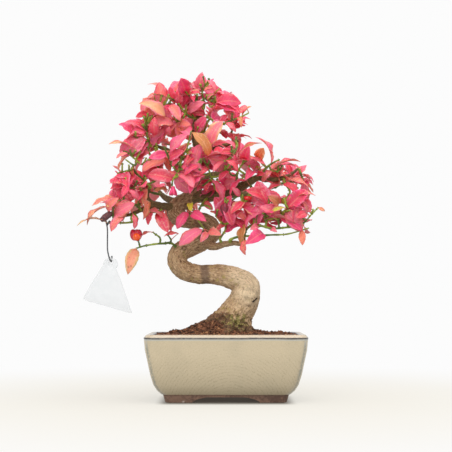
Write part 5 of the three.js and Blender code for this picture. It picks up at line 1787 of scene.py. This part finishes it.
@dataclass
class Spray:
    """A leafy spray: its twigs and its leaves."""

    name: str
    slot: Slot
    seed: int
    twigs: list[Stem] = field(default_factory=list)
    leaves: list[Leaf] = field(default_factory=list)

    @staticmethod
    def ruled(root: Array, heading: Array, length: float, number: int, tints: str) -> Leaf:
        """A leaf that the rule sets on a shoot, towards a heading in space."""
        normal = np.array([draw(number, 5) - 0.5, draw(number, 6) - 0.8, 1.1])
        width = length * (0.48 + 0.1 * draw(number, 7))
        arch = 0.1 + 0.1 * draw(number, 4)
        tip = root + heading * length
        return Leaf(root, root, tip, width, 0.0, arch, number, tints, normal)

    @classmethod
    def drawn(cls, plan: SprayPlan, wood: Array, seed: int) -> "Spray":
        """A spray that the front view shows, each twig grown from the nearest wood.

        Args:
            plan: Its twigs and leaves.
            wood: The points that its first twig may start from.
            seed: The number of its first leaf.

        Returns:
            The spray.
        """
        spray = cls(plan.name, plan.slot, seed)
        grown = np.zeros((0, 3))
        for index, row in enumerate(plan.twigs):
            line = VIEW.seen(*np.array(row, float).T)
            pool = grown if index else wood
            start = pool[np.linalg.norm(pool - line[0], axis=1).argmin()]
            radii = np.linspace(1.0 if index else 1.3, 0.6, len(line) + 1)
            twig = Stem(np.column_stack([np.vstack([start, line]), radii]))
            spray.twigs.append(twig)
            samples = twig.samples()
            grown = np.concatenate([grown, samples[np.linalg.norm(samples - start, axis=1) > 4]])
        for index, row in enumerate(plan.leaves):
            away = np.linalg.norm(VIEW.shown(grown) - row[:2], axis=1)
            root, layer = grown[away.argmin()], (index * 3) % 7
            spray.leaves.append(cls.shown_leaf(root, row, seed + index, layer))
        return spray

    @staticmethod
    def shown_leaf(root: Array, row: tuple, number: int, layer: int) -> Leaf:
        """A leaf with the width that shows: a narrow one turns on edge, a broad one leans forward.

        Args:
            root: Where its stalk starts.
            row: The leaf's row in the plan.
            number: Its own number for draws.
            layer: How many layers it lies in front of the twig.

        Returns:
            The leaf.
        """
        base_column, base_row, tip_column, tip_row, width, tints = row
        reach = math.hypot(tip_column - base_column, tip_row - base_row)
        shape = 0.5 + 0.06 * (draw(number, 1) - 0.5)
        length = min(max(reach, width / shape), max(27.0, reach))
        lean = math.sqrt(max(length * length - reach * reach, 0.0))
        depth = root[1] + 3 - 1.7 * layer - draw(number, 2)
        base = VIEW.seen(base_column, base_row, depth)
        forward = lean + reach * (0.05 + 0.15 * draw(number, 3))
        tip = VIEW.seen(tip_column, tip_row, depth - forward)
        full = max(width, length * shape)
        turn = math.acos(min(width / full, 1.0))
        if np.linalg.norm(root - base) < 3.5:
            base = root
        return Leaf(root, base, tip, full, turn, 0.13 + 0.07 * draw(number, 4), number, tints)

    @classmethod
    def far(
        cls, name: str, slot: Slot, ends: Sequence, size: float, wood: Array, seed: int
    ) -> "Spray":
        """A spray by rule: shoots from the nearest wood with pairs of leaves, each across the last.

        Args:
            name: Its CAD node.
            slot: Its leaves' slot.
            ends: The end of each shoot.
            size: The size of its leaves over the usual.
            wood: The points that the first shoot may start from.
            seed: The number of its first leaf.

        Returns:
            The spray.
        """
        spray = cls(name, slot, seed)
        for index, end in enumerate(ends):
            tip = np.array(end, float)
            start = wood[np.linalg.norm(wood - tip, axis=1).argmin()]
            bend = 0.5 * (start + tip) + (0, 0, 3 - 6 * draw(seed, index))
            shoot = Stem([(*start, 1.0 if index else 1.4), (*bend, 0.9), (*tip, 0.6)])
            spray.twigs.append(shoot)
            if index == 0:
                samples = shoot.samples()
                wood = samples[np.linalg.norm(samples - start, axis=1) > 8]
            along = unit(tip - start)
            level = unit(np.cross(along, (0, 0, 1)))
            upright = np.cross(level, along)
            for pair, share in enumerate((0.62, 0.95, 0.36, 0.8, 0.5)):
                for mate, sign in enumerate((1, -1)):
                    number = seed + 10 * index + 2 * pair + mate
                    out = upright * 0.8 if pair % 2 else level
                    heading = along * (0.55 + 0.5 * draw(number, 13)) + out * sign
                    heading = unit(heading - (0, 0, 0.35 * draw(number, 14)))
                    root = shoot.runs(np.array(share + 0.03 * mate))
                    length = size * (17 + 8 * draw(number, 12))
                    leaf = cls.ruled(root, heading, length, number, spray.tints(number))
                    spray.leaves.append(leaf)
        return spray

    def places(self) -> Array:
        """Points along the twigs that a leaf may grow from."""
        return np.concatenate([twig.samples()[2:] for twig in self.twigs])

    @staticmethod
    def fill(sprays: Sequence["Spray"]) -> None:
        """Adds leaves where the front view is dense, each to the spray whose twig is nearest.

        Args:
            sprays: The sprays that the front view shows.
        """
        pools = [spray.places() for spray in sprays]
        places = np.concatenate(pools)
        owner = np.repeat(np.arange(len(pools)), [len(pool) for pool in pools])
        number = 9000
        for column, row, wide, high, count in DENSE:
            for _ in range(count):
                number += 1
                angle, reach = 2 * math.pi * draw(number, 1), math.sqrt(draw(number, 2))
                shift = np.array([wide * math.cos(angle), high * math.sin(angle)])
                spot = np.array([column, row]) + reach * shift
                nearest = np.linalg.norm(VIEW.shown(places) - spot, axis=1).argmin()
                sprays[owner[nearest]].add(places[nearest], spot, number)

    def add(self, root: Array, spot: Array, number: int) -> None:
        """Adds one fill leaf, with a shoot where it lies far from its twig.

        Args:
            root: The nearest point of a twig.
            spot: The column and the row that the leaf lies at.
            number: Its own number for draws.
        """
        way = VIEW.seen(*spot, root[1] - 2 + 15 * draw(number, 3)) - root
        distance = np.linalg.norm(way)
        length = 19 + 8 * draw(number, 12)
        base = root + way * max(0.0, 1 - 0.6 * length / distance)
        leaf = Spray.ruled(base, unit(way), length, number, self.tints(number))
        turned, raised = 1.5 * draw(number, 5) - 0.75, 0.2 + 0.9 * draw(number, 6)
        leaf.normal = np.array([turned, -1.2, raised])
        leaf.width = length * (0.48 + 0.14 * draw(number, 7))
        self.leaves.append(leaf)
        if distance > 0.6 * length + 2:
            sag = 0.5 * (root + base) + (0, 0, 1.5 - 3 * draw(number, 15))
            self.twigs.append(Stem([(*root, 0.9), (*sag, 0.75), (*base, 0.5)]))
        if number % 3:
            forward = -0.3 - 0.6 * draw(number, 17)
            way = np.array([draw(number, 16) - 0.5, forward, draw(number, 18) - 0.1])
            end = root + unit(way) * (7 + 6 * draw(number, 19))
            bend = 0.5 * (root + end) + (0, 0, -0.8)
            self.twigs.append(Stem([(*root, 0.85), (*bend, 0.8), (*end, 0.75)]))

    def tints(self, number: int) -> str:
        """The tints that a ruled leaf of this spray draws."""
        choices = RULED_TINTS[self.slot]
        return choices[int(draw(number, 50) * len(choices))]

    def shoots(self) -> Patch:
        """The twigs, with swollen joints and pairs of small buds."""
        patches = []
        for number, twig in enumerate(self.twigs):

            def swell(share: Array, angle: Array, spans: int = twig.spans) -> Array:
                """Joints in even steps along the twig."""
                return 1 + 0.28 * np.cos(share * spans * 5.0) ** 12 + 0 * angle

            patches.append(twig.tube(8, 5, swell, 1.08).mark(joint=0.0))
            middles, radii = twig.smooth(4)
            along, normals, across = twig.frames(middles)
            for place in range(3, len(middles) - 1, 4):
                turn = 1.57 * (place // 4) + draw(self.seed + number, place)
                out = math.cos(turn) * normals[place] + math.sin(turn) * across[place]
                for sign in (1, -1):
                    heading = unit(along[place] * 0.8 + sign * out)
                    middle = middles[place] + sign * out * radii[place] * 0.9 + heading * 0.4
                    side = unit(np.cross(heading, (0.1, 0.2, 1.0)))
                    axes = np.stack([side, np.cross(heading, side), heading], axis=1)
                    bud = ellipsoid(middle, (0.42, 0.42, 0.85), axes, 3)
                    patches.append(bud.mark(joint=0.75))
        return Patch.join(patches)

    def dress(self, maker: Maker, leaf: bpy.types.Material, twig: bpy.types.Material) -> None:
        """Makes the spray's leaves and its twigs."""
        foliage = Foliage(self.leaves)
        patch = Patch.join([foliage.blades(), foliage.stalks()])
        maker.piece(f"{self.name}_leaves", patch, leaf, [self.name])
        maker.piece(f"{self.name}_twigs", self.shoots(), twig, [])


# ----- the fruits, the tag and its wire


class Fruits:
    """The seed capsules, the seed coats that show, and the dry pod."""

    @staticmethod
    def lobes(centre: Array, count: int, sizes: tuple, tilt: float) -> Patch:
        """Lobes round an upright stalk: ellipsoids set out from the middle and tilted.

        Args:
            centre: The capsule's middle.
            count: The number of lobes.
            sizes: A lobe's half lengths.
            tilt: How far its top leans outwards.

        Returns:
            The lobes as one patch.
        """
        c, s = math.cos(tilt), math.sin(tilt)
        lean = np.array([[c, 0, s], [0, 1, 0], [-s, 0, c]])
        patches = []
        for i in range(count):
            angle = 2 * math.pi * (i + 0.25) / count
            c, s = math.cos(angle), math.sin(angle)
            turn = np.array([[c, -s, 0], [s, c, 0], [0, 0, 1]]) @ lean
            patch = ellipsoid((0, 0, 0), sizes)
            keel = 1 + 0.12 * np.exp(-((patch.points[:, 1:2] / (0.25 * sizes[1])) ** 2))
            patch.points = (patch.points * keel + (sizes[0] * 0.75, 0, 0)) @ turn.T + centre
            patches.append(patch)
        return Patch.join(patches)

    @staticmethod
    def open_capsule(centre: Array) -> Patch:
        """The open capsule with the stalk that it hangs from."""
        rows = ((138.2, 240, -15), (137, 237, -15.5), (136.2, 231, -16.5))
        neck = Stem([(*VIEW.seen(*row), 0.5) for row in rows]).tube(6, 4)
        return Patch.join([Fruits.lobes(centre, 4, (3.4, 3.9, 5.1), 0.2), neck])

    @staticmethod
    def pod() -> Patch:
        """The dry pod, pinched at its ends and wrinkled along its length."""

        def wrinkled(share: Array, angle: Array) -> Array:
            """Five folds that wind slowly, and fine waves along them."""
            return 1 + 0.14 * np.sin(5 * angle + 9 * share) + 0.06 * np.sin(31 * share + angle)

        rows = (
            (100.5, 220.5, -33, 1.9), (104, 218, -33, 3.1), (108.5, 215, -33, 3.0),
            (112.5, 212.5, -32.5, 1.4),
        )
        return Stem([(*VIEW.seen(*row[:3]), row[3]) for row in rows]).tube(20, 8, wrinkled)

    def dress(self, maker: Maker) -> None:
        """Makes each fruit."""
        opened, small, dark, hidden = VIEW.seen(
            *np.array([(136, 234.5, -16.5), (173, 191.5, -39), (225, 208, -36), (248, 198, -37)]).T
        )
        coat = ellipsoid(opened + (0.9, -4.4, -2.6), (3.9, 3.1, 3.9), None, 14)
        pink = self.lobes(small, 4, (1.8, 1.9, 4.7), -0.5)
        maroon = self.lobes(dark, 3, (2.9, 2.8, 5.2), 0.2)
        scarlet = ellipsoid(hidden, (3.8, 3, 2.2))
        capsule, aril = Slot.CAPSULE, Slot.ARIL
        for name, patch, skin, slot, node in (
            ("capsule_open_lobes", self.open_capsule(opened), "CRIMSON", capsule, "capsule_open"),
            ("capsule_seed_coat", coat, "ORANGE", aril, "capsule_open_aril"),
            ("capsule_small", pink, "ROSE", capsule, "capsule_pink"),
            ("capsule_maroon", maroon, "MAROON", capsule, "capsule_dark"),
            ("seed_coat_right", scarlet, "SCARLET", aril, "aril_right"),
            ("pod_dried", self.pod(), "DRY", Slot.POD, "pod_dry"),
        ):
            maker.piece(name, patch, FruitSkin[skin].make(), [node])


@dataclass
class Tag:
    """The three-sided tag, bare, and the stiff wire that holds it."""

    depth: float = -32.0
    thickness: float = 0.8
    hole_radius: float = 1.7
    wire_radius: float = 0.68
    turn_radius: float = 1.9
    hole: tuple = (111.3, 262.0)
    corners: tuple = ((110.5, 254.5), (81.5, 299.0), (134.0, 314.0))
    rounding: tuple = (4.2, 4.5, 4.5)

    def outline(self) -> Array:
        """The plate's edge: quadratic curves round the corners with straight runs between."""
        places = [VIEW.seen(*corner, self.depth)[[0, 2]] for corner in self.corners]
        t = np.linspace(0, 1, 10)[:, None]
        parts = []
        for i, corner in enumerate(places):
            enter = corner + unit(places[i - 1] - corner) * self.rounding[i]
            leave = corner + unit(places[(i + 1) % 3] - corner) * self.rounding[i]
            parts.append((1 - t) ** 2 * enter + 2 * t * (1 - t) * corner + t**2 * leave)
        loop = np.concatenate(parts)
        return np.concatenate([loop, loop[:1]])

    def plate(self) -> Patch:
        """The plate as a ring swept from the hole out and back: its edges eased at both rims."""
        hole = VIEW.seen(*self.hole, self.depth)[[0, 2]]
        loop = self.outline()
        angle = np.linspace(0, 2 * math.pi, 96, endpoint=False)
        shares = (0.0, 0.2, 0.4, 0.6, 0.8)
        dense = np.concatenate([loop[:-1] + s * (loop[1:] - loop[:-1]) for s in shares]) - hole
        turned = np.arctan2(*dense.T[::-1]) % (2 * math.pi)
        order = turned.argsort()
        away = np.linalg.norm(dense, axis=1)[order]
        reach = np.interp(angle, turned[order], away, period=2 * math.pi)
        shares = (0.0, 0.004, 0.3, 0.7, 0.99, 1.0)
        share = np.array(shares + shares[::-1])[:, None]
        half = 0.5 * self.thickness * np.array([0.5, 1.0, 1.0, 1.0, 1.0, 0.5])
        radius = self.hole_radius + share * (reach - self.hole_radius)
        x, z = hole[0] + radius * np.cos(angle), hole[1] + radius * np.sin(angle)
        y = self.depth + np.concatenate([-half, half])[:, None] + 0 * x
        points = np.stack([x, y, z], axis=-1)
        index = np.arange(x.size).reshape(x.shape)
        ring, after = np.roll(index, -1, axis=0), np.roll(index, -1, axis=1)
        quads = np.stack([index, ring, np.roll(ring, -1, axis=1), after], axis=-1).reshape(-1, 4)
        return Patch(points.reshape(-1, 3), quads[:, ::-1], NO_TRIS)

    def wire(self) -> Patch:
        """The wire: a turn round the twig, a straight fall, and a hook through the hole."""
        x, y, z = VIEW.seen(107.5, 223, -30)
        angle = math.pi * (0.75 - 0.25 * np.arange(9))
        along = x + 2.4 - 0.5 * np.arange(9)
        round_y, round_z = self.turn_radius * np.cos(angle), self.turn_radius * np.sin(angle)
        turn = np.column_stack([along, y - round_y, z + round_z])
        rows = ((107.3, 229, -31.5), (107.4, 240, -32), (107.5, 249, -32.6))
        fall = [VIEW.seen(*row) for row in rows]
        bends = ((-2.6, -1.8, 7), (-1.2, -1.9, 2.6), (0, 0, 0.2), (0.4, 1.9, 2.6), (0.4, 2.2, 6))
        hook = VIEW.seen(*self.hole, self.depth) + np.array(bends)
        line = np.concatenate([turn, fall, hook])
        return Stem(np.column_stack([line, np.full(len(line), self.wire_radius)])).tube(8, 6)

    def dress(self, maker: Maker) -> None:
        """Makes the tag and its wire."""
        coat, wire = PlainFinish.TAG.make(), PlainFinish.WIRE.make()
        maker.piece("tag_blank", self.plate(), coat, ["tag"])
        maker.piece("tag_holder_wire", self.wire(), wire, ["tag_wire"])


# ----- the studio


@dataclass
class Studio:
    """The floor, the lights and the camera at the front view's place."""

    middle: Array
    tilt: float = 3.386
    focal: float = 1201.0
    image: float = 452.0
    ambient: float = 1.1
    ambient_low: float = 0.46
    key: float = 13.0
    fill: float = 11.0
    aim_height: float = 0.15
    backdrop: float = 0.9735
    floor_reach: float = 9.0
    floor_drop: float = 0.0002
    floor_glow: Pair = ((203, 202, 198), (252, 252, 252))
    floor_shade: Pair = ((128, 124, 115), (0, 0, 0))
    # The glow under the pot: a painted contact shadow.
    painted_contact_shadow: Colour = (34, 30, 24)

    def camera(self) -> None:
        """The camera: level with the front view's eye and tilted up to its middle row."""
        data = bpy.data.cameras.new("front")
        data.sensor_width = 36.0
        data.lens = 36.0 * self.focal / self.image
        data.clip_start, data.clip_end = 0.05, 50.0
        camera = placed("front", data)
        x, y, _ = self.middle
        camera.location = (x, y - VIEW.distance * 0.001, VIEW.height * 0.001)
        camera.rotation_euler = (math.radians(90 + self.tilt), 0.0, 0.0)
        bpy.context.scene.camera = camera

    def light(self, name: str, place: Sequence[float], size: float, watts: float) -> None:
        """A square soft light that faces the tree, at a place from the crown's foot."""
        data = bpy.data.lights.new(name, "AREA")
        data.size = size
        data.energy = watts
        lamp = placed(name, data)
        lamp.location = np.array([self.middle[0], self.middle[1], self.aim_height]) + place
        x, y, z = unit(np.asarray(place, float))
        lamp.rotation_euler = (math.acos(z), 0.0, math.atan2(x, -y))

    def world(self) -> None:
        """A surround that brightens upwards, and a near-white backdrop that the camera sees."""
        world = bpy.data.worlds.new("studio")
        world.use_nodes = True
        bpy.context.scene.world = world
        nodes = Nodes(world.node_tree)
        place = nodes.node("ShaderNodeTexCoord").outputs["Generated"]
        rise = nodes.node("ShaderNodeSeparateXYZ", None, {0: place}).outputs["Z"]
        limits = {"From Min": -0.5, "From Max": 0.9}
        limits |= {"To Min": self.ambient_low, "To Max": self.ambient}
        power = nodes.node("ShaderNodeMapRange", None, {"Value": rise, **limits}).outputs[0]
        warm, white = (1.0, 0.995, 0.985, 1.0), (1.0, 1.0, 1.0, 1.0)
        soft = nodes.node("ShaderNodeBackground", None, {0: warm, 1: power}).outputs[0]
        plain = nodes.node("ShaderNodeBackground", None, {0: white, 1: self.backdrop}).outputs[0]
        seen = nodes.node("ShaderNodeLightPath").outputs["Is Camera Ray"]
        mixed = nodes.node("ShaderNodeMixShader", None, {0: seen, 1: soft, 2: plain})
        nodes.node("ShaderNodeOutputWorld", None, {0: mixed.outputs[0]})

    def floor(self) -> None:
        """A wide pale floor just under the feet, which glows and fades into the backdrop, with a
        painted contact shadow in its glow under the pot.
        """
        mesh = bpy.data.meshes.new("floor")
        reach, drop = self.floor_reach, self.floor_drop
        corners = [(x * reach, y * reach, -drop) for x, y in SQUARE]
        mesh.from_pydata(corners, [], [(0, 1, 2, 3)])
        shader = Shader("floor")
        soft = shader.noise(shader.object_place(), 3.0, 2.0)
        place = shader.object_place((*self.middle[:2], 0.0))
        length = shader.node("ShaderNodeVectorMath", {"operation": "LENGTH"}, {0: place})
        away = Value(shader, length.outputs["Value"]) + (soft - 0.5) * 0.1
        away = away.step(0.08, 0.62)
        x, y, _ = shader.split(place)
        # under: the floor beneath the pot, where the glow turns into a painted contact shadow.
        under = abs(x).step(0.07, 0.054) * abs(y).step(0.064, 0.038)
        glow = shader.mix(*self.floor_glow, away)
        finish = shader.finish(
            Base_Color=shader.mix(*self.floor_shade, away),
            Roughness=0.6,
            Specular_IOR_Level=0.0,
            Emission_Color=shader.mix(glow, self.painted_contact_shadow, under * 0.96),
            Emission_Strength=1.0,
        )
        mesh.materials.append(finish)
        obj = placed("floor", mesh)
        obj.visible_diffuse = False

    def build(self) -> None:
        """Sets up the camera, the surround, the floor and the lights."""
        bpy.context.scene.view_settings.view_transform = "Standard"
        self.camera()
        self.world()
        self.floor()
        self.light("overhead", (0.15, -0.35, 1.35), 1.4, self.key)
        self.light("front_fill", (-0.5, -1.6, 0.7), 1.2, self.fill)


def main() -> None:
    """Loads the CAD model and builds each part of the tree over it."""
    logging.basicConfig(level=logging.INFO, format="%(message)s")
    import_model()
    low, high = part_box("pot")
    middle = np.array([(low[0] + high[0]) / 2, (low[1] + high[1]) / 2, 0.0])
    Studio(middle).build()
    maker = Maker(middle * 1000.0)
    pot, wood = Pot(), Wood()
    pot.dress(maker)
    screen_finish = PlainFinish.SCREEN.make()
    for side, sign in (("left", -1), ("right", 1)):
        Screen(side, sign * pot.drain_apart / 2).dress(maker, screen_finish)
    Soil(pot).dress(maker, wood.thick_samples())
    wood.dress(maker)
    samples = wood.samples()
    leaf, twig = LeafFinish().make(), TwigFinish().make()
    sprays = [Spray.drawn(plan, samples, 100 * (i + 1)) for i, plan in enumerate(SPRAYS)]
    Spray.fill(sprays)
    sprays += [Spray.far(*row, samples, 100 * (i + 41)) for i, row in enumerate(FAR_SPRAYS)]
    for spray in sprays:
        spray.dress(maker, leaf, twig)
    Fruits().dress(maker)
    Tag().dress(maker)


if __name__ == "__main__":
    main()
